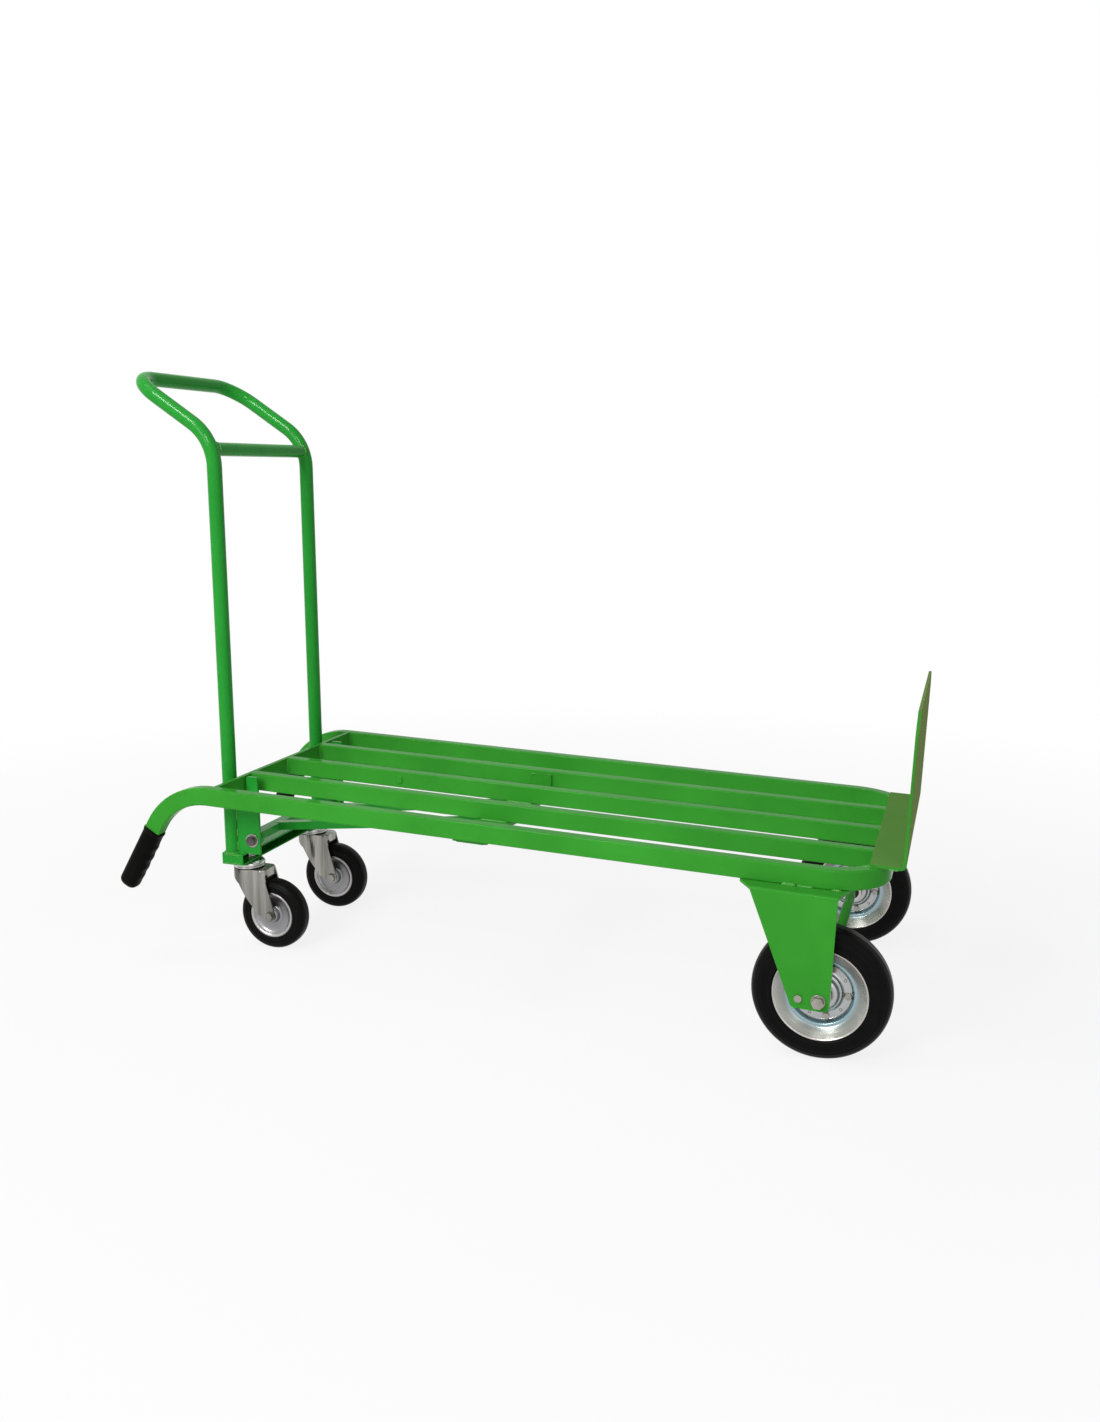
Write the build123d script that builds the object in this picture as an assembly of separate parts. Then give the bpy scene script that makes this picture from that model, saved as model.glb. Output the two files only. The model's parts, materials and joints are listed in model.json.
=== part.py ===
from build123d import *
import os
from math import atan2, cos, degrees, radians, sin

# Convertible trolley: a sack truck laid flat, its handle end resting on a push unit with two casters.
# While it is modelled, x = 0 is the road-wheel axle, +X points to the toe plate and z = 0 is the floor.
# At the end everything moves together so that the origin is under the middle of the whole trolley.

# Deck bars
DECK_SLOPE = 2.0
DECK_TOP = 283.0
BAR_HEIGHT = 29.3
BAR_WIDTH = 21.0
BAR_WALL = 2.0
BAR_CORNER = 2.5
BAR_INNER_CORNER = 0.5
BAR_PITCH = 121.0
END_BAR_X = -1003.5
END_BAR_THICK = 8.0
TOE_TUBE_X = 69.0
TOE_CORNER_R = 78.5

# Side handles and their grips
HANDLE_BEND_X = -1008.0
HANDLE_BEND_R = 113.0
HANDLE_BEND_ANGLE = 61.6
HANDLE_STRAIGHT = 110.0
GRIP_START = 12.0
GRIP_LENGTH = 121.0
GRIP_DEPTH = 33.5
GRIP_WIDTH = 29.0
GRIP_CORNER = 13.0
GRIP_TIP_FILLET = 12.0
GRIP_COLLAR_LENGTH = 5.0
GRIP_COLLAR_RISE = 0.8
GRIP_RIDGE_R = 7.0
GRIP_RIDGE_RISE = 0.6
GRIP_RIDGE_FIRST = 30.0
GRIP_RIDGE_PITCH = 21.0
GRIP_RIDGES = 3

# Cross-member under the deck, its lugs and the slat details
MEMBER_X = -548.0
MEMBER_WIDTH = 58.0
MEMBER_THICK = 8.0
MEMBER_END_LAP = 2.0
LUG_THICK = 5.0
LUG_DROP = 19.0
LUG_EYE_R = 9.0
LUG_TOP_WIDTH = 50.0
GUSSET_LENGTH = 37.0
GUSSET_HEIGHT = 23.0
GUSSET_THICK = 4.0
PLUG_X = -773.0
PLUG_R = 7.5
PLUG_RISE = 2.5
PLUG_EDGE = 2.0

# Toe plate
TOE_FACE_X = 100.0
TOE_INSET = 27.5
TOE_HEIGHT = 224.0
TOE_THICK = 4.5
TOE_FLANGE = 50.0
TOE_BEND_R = 8.0
TOE_CLIP = 28.0

# Road wheels and the brackets that carry them
WHEEL_R = 100.0
WHEEL_WIDTH = 50.0
WHEEL_INSET = 4.0
TYRE_SHOULDER = 15.0
TYRE_BEAD = 2.0
RIM_R = 68.5
RIM_THICK = 2.5
RIM_EDGE_Y = 23.5
RIM_SEAT_R = 61.0
RIM_RIDGE_R = 49.0
RIM_RIDGE_Y = 9.0
RIM_WEB_OUTER_R = 44.5
RIM_WEB_INNER_R = 31.0
RIM_COLLAR_R = 24.0
RIM_COLLAR_Y = 16.0
RIM_FLOOR_DROP = 2.0
RIM_LIP_DROP = 4.0
RIM_LIP_STEP = 3.0
RIM_FOLD = 1.0
RIM_BOLTS = 5
RIM_BOLT_CIRCLE_R = 38.0
RIM_BOLT_START = -6.0
RIM_BOLT_R = 3.0
RIM_BOLT_HEAD_R = 5.2
RIM_BOLT_HEAD_H = 4.0
HUB_R = 16.0
HUB_BORE_R = 12.5
HUB_INNER_REACH = 27.0
AXLE_R = 8.0
AXLE_END_R = 6.0
AXLE_NUT_R = 9.0
AXLE_NUT_H = 7.5
AXLE_NUT_CAP = 2.0
AXLE_WASHER_R = 10.2
AXLE_WASHER_H = 2.5
CHEEK_THICK = 4.0
CHEEK_OUTER_REACH = 39.5
CHEEK_LEFT_TOP_X = -106.0
WEB_LEFT_X = -125.0
CHEEK_LEFT_BOTTOM_X = -37.0
CHEEK_RIGHT_X = 16.0
WEB_RIGHT_X = 30.0
CHEEK_BOTTOM_DROP = 15.0
CHEEK_CORNER_R = 8.0
CHEEK_BEND_R = 4.0
RIVET_BACK = 28.0
RIVET_R = 3.0
RIVET_HEAD_R = 5.5
RIVET_HEAD_H = 3.0

# Push handle
HANDLE_TUBE_R = 12.3
HANDLE_TUBE_WALL = 2.0
UPRIGHT_X = -1019.3
UPRIGHT_Y = 150.8
ARM_CORNER_Z = 881.0
ARM_BEND_R = 85.0
HANDLE_BAR_X = -1172.0
HANDLE_BAR_Z = 981.8
HANDLE_LOOP_R = 56.0
NECK_BAR_R = 11.3
NECK_BAR_Z = 864.0

# Caster beam: a channel, open toward the deck, that the uprights stand on
BEAM_OFFSET = 5.8
BEAM_WIDTH = 41.0
BEAM_BOTTOM = 160.0
BEAM_HEIGHT = 20.0
BEAM_WALL = 3.0

# Ear plates with the notch that the deck's end bar drops into
EAR_THICK = 5.0
EAR_REACH = 21.0
EAR_TOP_UNDER_DECK = 1.0
NOTCH_GAP = 3.2
NOTCH_SEAT_GAP = 0.3
EAR_CORNER_R = 3.0

# Stay between the ear plates and the cross-member
STAY_BAR_X = -985.0
STAY_BAR_Z = 206.0
STAY_BAR_WIDTH = 20.0
STAY_HEIGHT = 14.0
STRUT_Y = 60.0
STRUT_WIDTH = 16.0
STAY_LUG_THICK = 12.0
STAY_BOLT_AHEAD = 6.5
STAY_BOLT_DROP = 1.7
STAY_BOLT_R = 5.0
STAY_BOLT_HEAD_R = 8.6
STAY_BOLT_HEAD_H = 6.5
STAY_WASHER_R = 12.0
STAY_WASHER_H = 2.0
STAY_LUG_R = 13.0
HINGE_PIN_R = 4.0
HINGE_PIN_HEAD_R = 6.5
HINGE_PIN_HEAD_H = 3.0
STRUT_EYE_R = 8.5

# Casters
CASTER_R = 62.5
CASTER_WIDTH = 32.0
CASTER_Y = 113.0
CASTER_TRAIL = 49.0
CASTER_OFFSET = 1.5
CASTER_SHOULDER = 10.0
CASTER_BEAD = 4.0
CASTER_RIM_R = 41.0
CASTER_RIM_INSET = 1.0
CASTER_RIM_DISH_R = 33.0
CASTER_RIM_DISH = 5.0
CASTER_RIM_WALL_STEP = 3.0
CASTER_HUB_FLARE = 1.5
CASTER_HUB_DROP = 2.0
CASTER_HUB_R = 13.0
FORK_THICK = 3.0
FORK_SIDE_GAP = 3.0
FORK_TOP = 144.0
FORK_CROWN_R = 27.0
FORK_FRONT = 42.0
FORK_FRONT_CORNER = 11.0
FORK_SKIRT = 14.0
FORK_SHOULDER_X = -7.0
FORK_SHOULDER_Z = 118.0
FORK_HEEL_X = 22.0
FORK_HEEL_Z = 66.0
FORK_LEG_FRONT = 38.0
FORK_EYE_R = 11.0
CASTER_HEAD_R = 28.0
CASTER_HEAD_DOME = 9.0
CASTER_HEAD_EDGE = 3.0
KING_PIN_R = 6.0
KING_RIVET_R = 10.0
KING_RIVET_H = 3.5
STUD_NUT_R = 9.5
STUD_NUT_H = 8.5
STUD_FLANGE_R = 12.5
STUD_FLANGE_H = 2.5
STUD_END = 1.5
CASTER_AXLE_R = 5.0
CASTER_AXLE_HEAD_R = 8.0
CASTER_AXLE_HEAD_H = 5.0

# Clearances
RUNNING_GAP = 0.05
SEAT_GAP = 0.1
MOVING_GAP = 0.4

# Sizes that follow from the ones above
RAIL_Y = 2 * BAR_PITCH
WHEEL_Y = RAIL_Y - WHEEL_INSET
CHEEK_OUTER_Y = RAIL_Y + CHEEK_OUTER_REACH
TOE_WIDTH = 2 * (RAIL_Y - TOE_INSET)
BEAM_X = UPRIGHT_X + BEAM_OFFSET
CASTER_AXIS_X = BEAM_X + CASTER_OFFSET
STAY_BOLT_X = STAY_BAR_X + STAY_BOLT_AHEAD
STAY_BOLT_Z = STAY_BAR_Z - STAY_BOLT_DROP
EAR_RIGHT_X = STAY_BAR_X + EAR_REACH
BAR_BOTTOM = DECK_TOP - BAR_HEIGHT
BAR_MID_Z = DECK_TOP - BAR_HEIGHT / 2
END_BAR_INNER_X = END_BAR_X + END_BAR_THICK
TOE_CORNER_X = TOE_TUBE_X - TOE_CORNER_R
TOE_CORNER_Y = RAIL_Y - TOE_CORNER_R
RAIL_INNER_Y = RAIL_Y - BAR_WIDTH / 2
SLAT_END_X = TOE_TUBE_X - BAR_WIDTH / 2
LUG_PIN_Z = BAR_BOTTOM - MEMBER_THICK - LUG_DROP + LUG_EYE_R
CASTER_WHEEL_X = CASTER_AXIS_X + CASTER_TRAIL
BEAM_TOP = BEAM_BOTTOM + BEAM_HEIGHT
EAR_OUTER_Y = UPRIGHT_Y + EAR_THICK / 2
EAR_INNER_Y = EAR_OUTER_Y - EAR_THICK
FORK_INNER = CASTER_WIDTH / 2 + FORK_SIDE_GAP
FORK_OUTER = FORK_INNER + FORK_THICK

TILT = Pos(0, 0, WHEEL_R) * Rot(0, DECK_SLOPE, 0) * Pos(0, 0, -WHEEL_R)


def tilted(x, z):
    """Place of a deck point after the deck's slope."""
    a = radians(DECK_SLOPE)
    return x * cos(a) + (z - WHEEL_R) * sin(a), WHEEL_R - x * sin(a) + (z - WHEEL_R) * cos(a)


def block(x0, x1, y0, y1, z0, z1):
    """Box between two corners."""
    return Pos((x0 + x1) / 2, (y0 + y1) / 2, (z0 + z1) / 2) * Box(x1 - x0, y1 - y0, z1 - z0)


def rod_y(x, z, radius, y0, y1):
    """Round bar along Y between two y values."""
    low, high = min(y0, y1), max(y0, y1)
    return Pos(x, (low + high) / 2, z) * Rot(90, 0, 0) * Cylinder(radius, high - low)


def rod_z(x, y, radius, z0, z1):
    """Round bar along Z between two heights."""
    return Pos(x, y, (z0 + z1) / 2) * Cylinder(radius, z1 - z0)


def hex_y(x, z, radius, y0, y1):
    """Hexagon head along Y."""
    low, high = min(y0, y1), max(y0, y1)
    return Pos(x, high, z) * Rot(90, 0, 0) * extrude(RegularPolygon(radius, 6), high - low)


def hex_z(x, y, radius, z0, z1):
    """Hexagon nut along Z."""
    return Pos(x, y, z0) * extrude(RegularPolygon(radius, 6), z1 - z0)


def plate_xz(points, y0, y1):
    """Flat plate in the XZ plane from its outline."""
    low, high = min(y0, y1), max(y0, y1)
    outline = make_face(Polyline(*points, close=True))
    return Pos(0, high, 0) * extrude(Plane.XZ * outline, high - low)


def ring_y(profile, x, y, z):
    """Turned piece about an axis along Y; the profile is given as radius, offset along Y."""
    face = make_face(Polyline(*[(radius, offset) for radius, offset in profile], close=True))
    return Pos(x, y, z) * revolve(face, Axis.Y, 360)


def tyre_ring(radius, half, shoulder, bead, seat, x, y):
    """Tyre about an axis along Y: the seat points, then flat sides and rounded shoulders."""
    bead_r = seat[-1][0] + bead
    arc_start = (radius - shoulder, half)
    arc_end = (radius, half - shoulder)
    middle = shoulder * (1 - cos(radians(45)))
    arc_middle = (radius - middle, half - middle)
    side = Polyline(*seat, (bead_r, half), arc_start)
    shoulder_arc = ThreePointArc(arc_start, arc_middle, arc_end)
    half_outline = [*side.edges(), *shoulder_arc.edges()]
    other_half = [mirror(edge, Plane.XZ) for edge in half_outline]
    tread = Line(arc_end, (arc_end[0], -arc_end[1]))
    base = Line(seat[0], (seat[0][0], -seat[0][1]))
    face = make_face([*half_outline, *tread.edges(), *base.edges(), *other_half])
    return Pos(x, y, radius) * revolve(face, Axis.Y, 360)


def bar_section():
    """Hollow rectangular bar section, width by height."""
    outer = RectangleRounded(BAR_WIDTH, BAR_HEIGHT, BAR_CORNER)
    return outer - RectangleRounded(BAR_WIDTH - 2 * BAR_WALL, BAR_HEIGHT - 2 * BAR_WALL, BAR_INNER_CORNER)


def bar_along_x(y, x0, x1):
    """Hollow bar along X."""
    return extrude(Plane((x0, y, BAR_MID_Z), x_dir=(0, 1, 0), z_dir=(1, 0, 0)) * bar_section(), x1 - x0)


def handle_plane(y, along):
    """Section plane on the straight part of a side handle, at a distance past its bend."""
    a = radians(HANDLE_BEND_ANGLE)
    x = HANDLE_BEND_X - HANDLE_BEND_R * sin(a) - along * cos(a)
    z = BAR_MID_Z - HANDLE_BEND_R * (1 - cos(a)) - along * sin(a)
    return Plane((x, y, z), x_dir=(0, 1, 0), z_dir=(-cos(a), 0, -sin(a)))


def side_rail(y):
    """Side rail with its handle bent down at the end."""
    straight = bar_along_x(y, HANDLE_BEND_X, TOE_CORNER_X)
    start = Plane((HANDLE_BEND_X, y, BAR_MID_Z), x_dir=(0, 1, 0), z_dir=(1, 0, 0)) * bar_section()
    bend_axis = Axis((HANDLE_BEND_X, y, BAR_MID_Z - HANDLE_BEND_R), (0, -1, 0))
    bend = revolve(start, bend_axis, HANDLE_BEND_ANGLE)
    end = extrude(handle_plane(y, 0) * bar_section(), HANDLE_STRAIGHT)
    return straight + bend + end


def grip(y):
    """Rubber grip pushed over the end of a side handle, with finger ridges on its inner side."""
    outline = RectangleRounded(GRIP_WIDTH, GRIP_DEPTH, GRIP_CORNER)
    sleeve = extrude(handle_plane(y, GRIP_START) * outline, GRIP_LENGTH)
    tip = sleeve.faces().sort_by(Axis((0, 0, 0), handle_plane(y, 0).z_dir))[-1]
    sleeve = fillet(tip.edges(), GRIP_TIP_FILLET)
    collar_outline = RectangleRounded(GRIP_WIDTH + 2 * GRIP_COLLAR_RISE, GRIP_DEPTH + 2 * GRIP_COLLAR_RISE,
                                      GRIP_CORNER + GRIP_COLLAR_RISE)
    sleeve += extrude(handle_plane(y, GRIP_START) * collar_outline, GRIP_COLLAR_LENGTH)
    for i in range(GRIP_RIDGES):
        along = GRIP_START + GRIP_RIDGE_FIRST + i * GRIP_RIDGE_PITCH
        place = handle_plane(y, along)
        inward = -place.y_dir if place.y_dir.X < 0 else place.y_dir
        centre = place.origin + inward * (GRIP_DEPTH / 2 + GRIP_RIDGE_RISE - GRIP_RIDGE_R)
        sleeve += Pos(centre) * Rot(90, 0, 0) * Cylinder(GRIP_RIDGE_R, GRIP_WIDTH - GRIP_CORNER)
    socket = RectangleRounded(BAR_WIDTH, BAR_HEIGHT, BAR_CORNER)
    return sleeve - extrude(handle_plane(y, GRIP_START) * socket, HANDLE_STRAIGHT - GRIP_START)


def toe_tube():
    """End of the bar frame: two rounded corners and the run between them."""
    start = Plane((TOE_CORNER_X, -RAIL_Y, BAR_MID_Z), x_dir=(0, 1, 0), z_dir=(1, 0, 0)) * bar_section()
    corner = revolve(start, Axis((TOE_CORNER_X, -TOE_CORNER_Y, BAR_MID_Z), (0, 0, 1)), 90)
    run_plane = Plane((TOE_TUBE_X, -TOE_CORNER_Y, BAR_MID_Z), x_dir=(1, 0, 0), z_dir=(0, 1, 0))
    run = extrude(run_plane * bar_section(), 2 * TOE_CORNER_Y)
    return corner + run + mirror(corner, Plane.XZ)


def hinge_lug(y):
    """Plate that hangs under the cross-member and holds one end of a hinge pin."""
    top = BAR_BOTTOM - MEMBER_THICK
    low = LUG_PIN_Z - LUG_EYE_R
    half = LUG_TOP_WIDTH / 2
    points = [(MEMBER_X - half, top), (MEMBER_X + half, top),
              (MEMBER_X + LUG_EYE_R, low), (MEMBER_X - LUG_EYE_R, low)]
    lug = plate_xz(points, y - LUG_THICK / 2, y + LUG_THICK / 2)
    return lug - rod_y(MEMBER_X, LUG_PIN_Z, HINGE_PIN_R + SEAT_GAP, y - LUG_THICK, y + LUG_THICK)


def toe_plate():
    """Toe plate: a folded plate, its flange on the deck and its clipped face standing up."""
    half = TOE_WIDTH / 2
    top = DECK_TOP + TOE_HEIGHT
    corner = [(TOE_FACE_X - TOE_FLANGE, DECK_TOP), (TOE_FACE_X, DECK_TOP), (TOE_FACE_X, top),
              (TOE_FACE_X - TOE_THICK, top), (TOE_FACE_X - TOE_THICK, DECK_TOP + TOE_THICK),
              (TOE_FACE_X - TOE_FLANGE, DECK_TOP + TOE_THICK)]
    plate = plate_xz(corner, -half, half)
    along_y = plate.edges().filter_by(Axis.Y)
    inner = along_y.sort_by_distance((TOE_FACE_X - TOE_THICK, 0, DECK_TOP + TOE_THICK))[0]
    plate = fillet(inner, TOE_BEND_R - TOE_THICK)
    outer = plate.edges().filter_by(Axis.Y).sort_by_distance((TOE_FACE_X, 0, DECK_TOP))[0]
    plate = fillet(outer, TOE_BEND_R)
    for side in (-1, 1):
        clip = Plane.YZ * make_face(Polyline((side * half, top), (side * half, top - TOE_CLIP),
                                             (side * (half - TOE_CLIP), top), close=True))
        plate -= Pos(TOE_FACE_X - 2 * TOE_THICK, 0, 0) * extrude(clip, 4 * TOE_THICK)
    return plate


def wheel_bracket(side):
    """Folded bracket under a rail: a top web and a cheek outside the wheel that holds the axle."""
    web_low = BAR_BOTTOM - CHEEK_THICK
    outer = CHEEK_OUTER_Y
    low = WHEEL_R - CHEEK_BOTTOM_DROP
    cheek_points = [(CHEEK_LEFT_BOTTOM_X, low), (CHEEK_LEFT_TOP_X, web_low), (CHEEK_RIGHT_X, web_low),
                    (CHEEK_RIGHT_X, low)]
    cheek = plate_xz(cheek_points, outer - CHEEK_THICK, outer)
    rail_face = RAIL_Y + BAR_WIDTH / 2
    web_points = [(WEB_LEFT_X, RAIL_INNER_Y), (WEB_RIGHT_X, RAIL_INNER_Y), (CHEEK_RIGHT_X, outer),
                  (CHEEK_LEFT_TOP_X, outer), (WEB_LEFT_X, rail_face)]
    web = Pos(0, 0, web_low) * extrude(make_face(Polyline(*web_points, close=True)), CHEEK_THICK)
    bracket = cheek + web
    low_corners = bracket.edges().filter_by(Axis.Y).filter_by(lambda e: e.center().Z < low + 1)
    bracket = fillet(low_corners, CHEEK_CORNER_R)
    along_x = bracket.edges().filter_by(Axis.X).filter_by(lambda e: e.center().Z > BAR_BOTTOM - 0.1)
    bracket = fillet(along_x.sort_by(Axis.Y)[-1], CHEEK_BEND_R)
    bracket -= rod_y(0, WHEEL_R, AXLE_END_R + SEAT_GAP, outer - 2 * CHEEK_THICK, outer + CHEEK_THICK)
    bracket -= rod_y(-RIVET_BACK, WHEEL_R, RIVET_R + SEAT_GAP, outer - 2 * CHEEK_THICK, outer + CHEEK_THICK)
    return bracket if side > 0 else mirror(bracket, Plane.XZ)


def axle_nut(side):
    """Cap nut on an end of the axle, outside the bracket."""
    low = CHEEK_OUTER_Y + AXLE_WASHER_H
    high = low + AXLE_NUT_H
    nut = hex_y(0, WHEEL_R, AXLE_NUT_R, side * low, side * high)
    return nut - rod_y(0, WHEEL_R, AXLE_END_R + SEAT_GAP, side * low, side * (high - AXLE_NUT_CAP))


def axle_washer(side):
    """Washer under an axle nut."""
    faces = side * CHEEK_OUTER_Y, side * (CHEEK_OUTER_Y + AXLE_WASHER_H)
    return rod_y(0, WHEEL_R, AXLE_WASHER_R, *faces) - rod_y(0, WHEEL_R, AXLE_END_R + SEAT_GAP, *faces)


def bracket_rivet(side):
    """Rivet beside the axle bolt in a bracket's outer cheek."""
    inner = CHEEK_OUTER_Y - CHEEK_THICK
    shank = rod_y(-RIVET_BACK, WHEEL_R, RIVET_R, side * inner, side * CHEEK_OUTER_Y)
    head_ends = side * CHEEK_OUTER_Y, side * (CHEEK_OUTER_Y + RIVET_HEAD_H)
    head = rod_y(-RIVET_BACK, WHEEL_R, RIVET_HEAD_R, *head_ends)
    tail = rod_y(-RIVET_BACK, WHEEL_R, RIVET_HEAD_R, side * (inner - RIVET_HEAD_H / 2), side * inner)
    return shank + head + tail


def axle_bar():
    """Axle between the brackets, stepped down where the wheels turn on it."""
    shoulder = WHEEL_Y - HUB_INNER_REACH - MOVING_GAP
    tip = CHEEK_OUTER_Y + AXLE_WASHER_H + AXLE_NUT_H - AXLE_NUT_CAP - SEAT_GAP
    return rod_y(0, WHEEL_R, AXLE_R, -shoulder, shoulder) + rod_y(0, WHEEL_R, AXLE_END_R, -tip, tip)


def wheel_tyre(y):
    """Solid tyre with rounded shoulders, seated between the two rim discs."""
    half = WHEEL_WIDTH / 2
    edge = RIM_EDGE_Y - RIM_THICK - SEAT_GAP
    base = RIM_SEAT_R + RIM_THICK + SEAT_GAP
    lip = RIM_R + SEAT_GAP
    seat = [(base, edge - RIM_THICK), (lip, edge), (lip, RIM_EDGE_Y)]
    return tyre_ring(WHEEL_R, half, TYRE_SHOULDER, TYRE_BEAD, seat, 0, y)


def rim_disc(y, face):
    """One pressed disc of a wheel's split rim; face is the side of the wheel that it closes."""
    floor_y = RIM_RIDGE_Y - RIM_FLOOR_DROP
    front = [(HUB_R + RUNNING_GAP, RIM_COLLAR_Y), (RIM_COLLAR_R, RIM_COLLAR_Y), (RIM_WEB_INNER_R, RIM_THICK),
             (RIM_WEB_OUTER_R, RIM_THICK), (RIM_RIDGE_R, RIM_RIDGE_Y), (RIM_SEAT_R - RIM_LIP_STEP, floor_y),
             (RIM_SEAT_R, RIM_EDGE_Y - RIM_LIP_DROP), (RIM_SEAT_R + RIM_LIP_STEP, RIM_EDGE_Y),
             (RIM_R, RIM_EDGE_Y)]
    back = [(RIM_R, RIM_EDGE_Y - RIM_THICK), (RIM_SEAT_R + RIM_THICK, RIM_EDGE_Y - 2 * RIM_THICK),
            (RIM_SEAT_R + RIM_THICK, floor_y - RIM_THICK), (RIM_RIDGE_R, RIM_RIDGE_Y - RIM_THICK),
            (RIM_WEB_OUTER_R + RIM_FOLD, 0.0), (RIM_WEB_INNER_R - RIM_FOLD, 0.0),
            (RIM_COLLAR_R - RIM_FOLD, RIM_COLLAR_Y - RIM_THICK),
            (HUB_R + RUNNING_GAP, RIM_COLLAR_Y - RIM_THICK)]
    disc = ring_y([(radius, face * offset) for radius, offset in front + back], 0, y, WHEEL_R)
    for x, z in rim_bolt_places():
        disc -= rod_y(x, z, RIM_BOLT_R + SEAT_GAP, y - RIM_EDGE_Y, y + RIM_EDGE_Y)
    return disc


def rim_bolt_places():
    """Places of the bolts that clamp the two rim discs."""
    turns = [radians(RIM_BOLT_START + 360 * i / RIM_BOLTS) for i in range(RIM_BOLTS)]
    return [(RIM_BOLT_CIRCLE_R * cos(a), WHEEL_R + RIM_BOLT_CIRCLE_R * sin(a)) for a in turns]


def rim_bolt(y, side, x, z):
    """One rim bolt, hexagon head outside and nut inside."""
    face = side * RIM_THICK
    shank = rod_y(x, z, RIM_BOLT_R, y - face, y + face)
    head = hex_y(x, z, RIM_BOLT_HEAD_R, y + face, y + face + side * RIM_BOLT_HEAD_H)
    nut = hex_y(x, z, RIM_BOLT_HEAD_R, y - face, y - face - side * RIM_BOLT_HEAD_H)
    return shank + head + nut


def hub_ends(side):
    """Ends of a hub along Y: past the rim on the inside, close to the cheek on the outside."""
    return side * (WHEEL_Y - HUB_INNER_REACH), side * (CHEEK_OUTER_Y - CHEEK_THICK - MOVING_GAP)


def wheel_hub(side):
    """Hub tube that the two rim discs sit on."""
    ends = hub_ends(side)
    return rod_y(0, WHEEL_R, HUB_R, *ends) - rod_y(0, WHEEL_R, HUB_BORE_R, *ends)


def hub_bush(side):
    """Plastic bush in a hub, turning on the axle's stepped end."""
    ends = hub_ends(side)
    return rod_y(0, WHEEL_R, HUB_BORE_R, *ends) - rod_y(0, WHEEL_R, AXLE_END_R + RUNNING_GAP, *ends)


def push_handle():
    """Bent tube: two uprights, two arms leaning back and the bar that is pushed."""
    points = [(UPRIGHT_X, -UPRIGHT_Y, BEAM_TOP), (UPRIGHT_X, -UPRIGHT_Y, ARM_CORNER_Z),
              (HANDLE_BAR_X, -UPRIGHT_Y, HANDLE_BAR_Z), (HANDLE_BAR_X, UPRIGHT_Y, HANDLE_BAR_Z),
              (UPRIGHT_X, UPRIGHT_Y, ARM_CORNER_Z), (UPRIGHT_X, UPRIGHT_Y, BEAM_TOP)]
    path = FilletPolyline(*points, radius=[ARM_BEND_R, HANDLE_LOOP_R, HANDLE_LOOP_R, ARM_BEND_R])
    section = Circle(HANDLE_TUBE_R) - Circle(HANDLE_TUBE_R - HANDLE_TUBE_WALL)
    return sweep(Plane(points[0], z_dir=(0, 0, 1)) * section, path)


def neck_bar():
    """Bar between the two uprights where they bend, coped to the tubes."""
    climb = NECK_BAR_Z - (ARM_CORNER_Z - arm_tangent())
    x = UPRIGHT_X - ARM_BEND_R + (ARM_BEND_R**2 - climb**2) ** 0.5
    bar = rod_y(x, NECK_BAR_Z, NECK_BAR_R, -UPRIGHT_Y, UPRIGHT_Y)
    points = [(UPRIGHT_X, -UPRIGHT_Y, BEAM_TOP), (UPRIGHT_X, -UPRIGHT_Y, ARM_CORNER_Z),
              (HANDLE_BAR_X, -UPRIGHT_Y, HANDLE_BAR_Z)]
    path = FilletPolyline(*points, radius=ARM_BEND_R)
    near = sweep(Plane(points[0], z_dir=(0, 0, 1)) * Circle(HANDLE_TUBE_R), path)
    bar = bar - near - mirror(near, Plane.XZ)
    return bar.solids().sort_by(SortBy.VOLUME)[-1]


def arm_tangent():
    """Length from an arm's corner point to where its bend starts."""
    lean = radians(90) - atan2(HANDLE_BAR_Z - ARM_CORNER_Z, UPRIGHT_X - HANDLE_BAR_X)
    return ARM_BEND_R * sin(lean / 2) / cos(lean / 2)


def caster_beam():
    """Channel along Y with closed ends that carries the uprights and the two casters."""
    end = UPRIGHT_Y + HANDLE_TUBE_R
    back, front = BEAM_X - BEAM_WIDTH / 2, BEAM_X + BEAM_WIDTH / 2
    beam = block(back, front, -end, end, BEAM_BOTTOM, BEAM_TOP)
    floor = BEAM_BOTTOM + BEAM_WALL
    inside = end - BEAM_WALL
    beam -= block(back + BEAM_WALL, front + BEAM_WALL, -inside, inside, floor, BEAM_TOP - BEAM_WALL)
    for side in (-1, 1):
        beam -= rod_z(CASTER_AXIS_X, side * CASTER_Y, KING_PIN_R + SEAT_GAP, BEAM_BOTTOM - 1, floor + 1)
    return beam


def ear_plate(side):
    """Ear plate welded to an upright: notched for the deck's end bar, drilled for the stay's bolt."""
    prong_x = tilted(END_BAR_INNER_X, DECK_TOP)[0] + NOTCH_GAP
    top = tilted(END_BAR_INNER_X, DECK_TOP)[1] - EAR_TOP_UNDER_DECK
    left = UPRIGHT_X + HANDLE_TUBE_R
    seat_left = tilted(left, BAR_BOTTOM - NOTCH_SEAT_GAP)[1]
    seat_right = tilted(prong_x, BAR_BOTTOM - NOTCH_SEAT_GAP)[1]
    points = [(left, BEAM_TOP), (EAR_RIGHT_X, BEAM_TOP), (EAR_RIGHT_X, top), (prong_x, top),
              (prong_x, seat_right), (left, seat_left)]
    ear = plate_xz(points, side * EAR_INNER_Y, side * EAR_OUTER_Y)
    prong = ear.edges().filter_by(Axis.Y).filter_by(lambda e: e.center().X > prong_x - 1)
    ear = fillet(prong.filter_by(lambda e: e.center().Z > top - 1), EAR_CORNER_R)
    faces = side * EAR_INNER_Y, side * EAR_OUTER_Y
    return ear - rod_y(STAY_BOLT_X, STAY_BOLT_Z, STAY_BOLT_R + SEAT_GAP, *faces)


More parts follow.
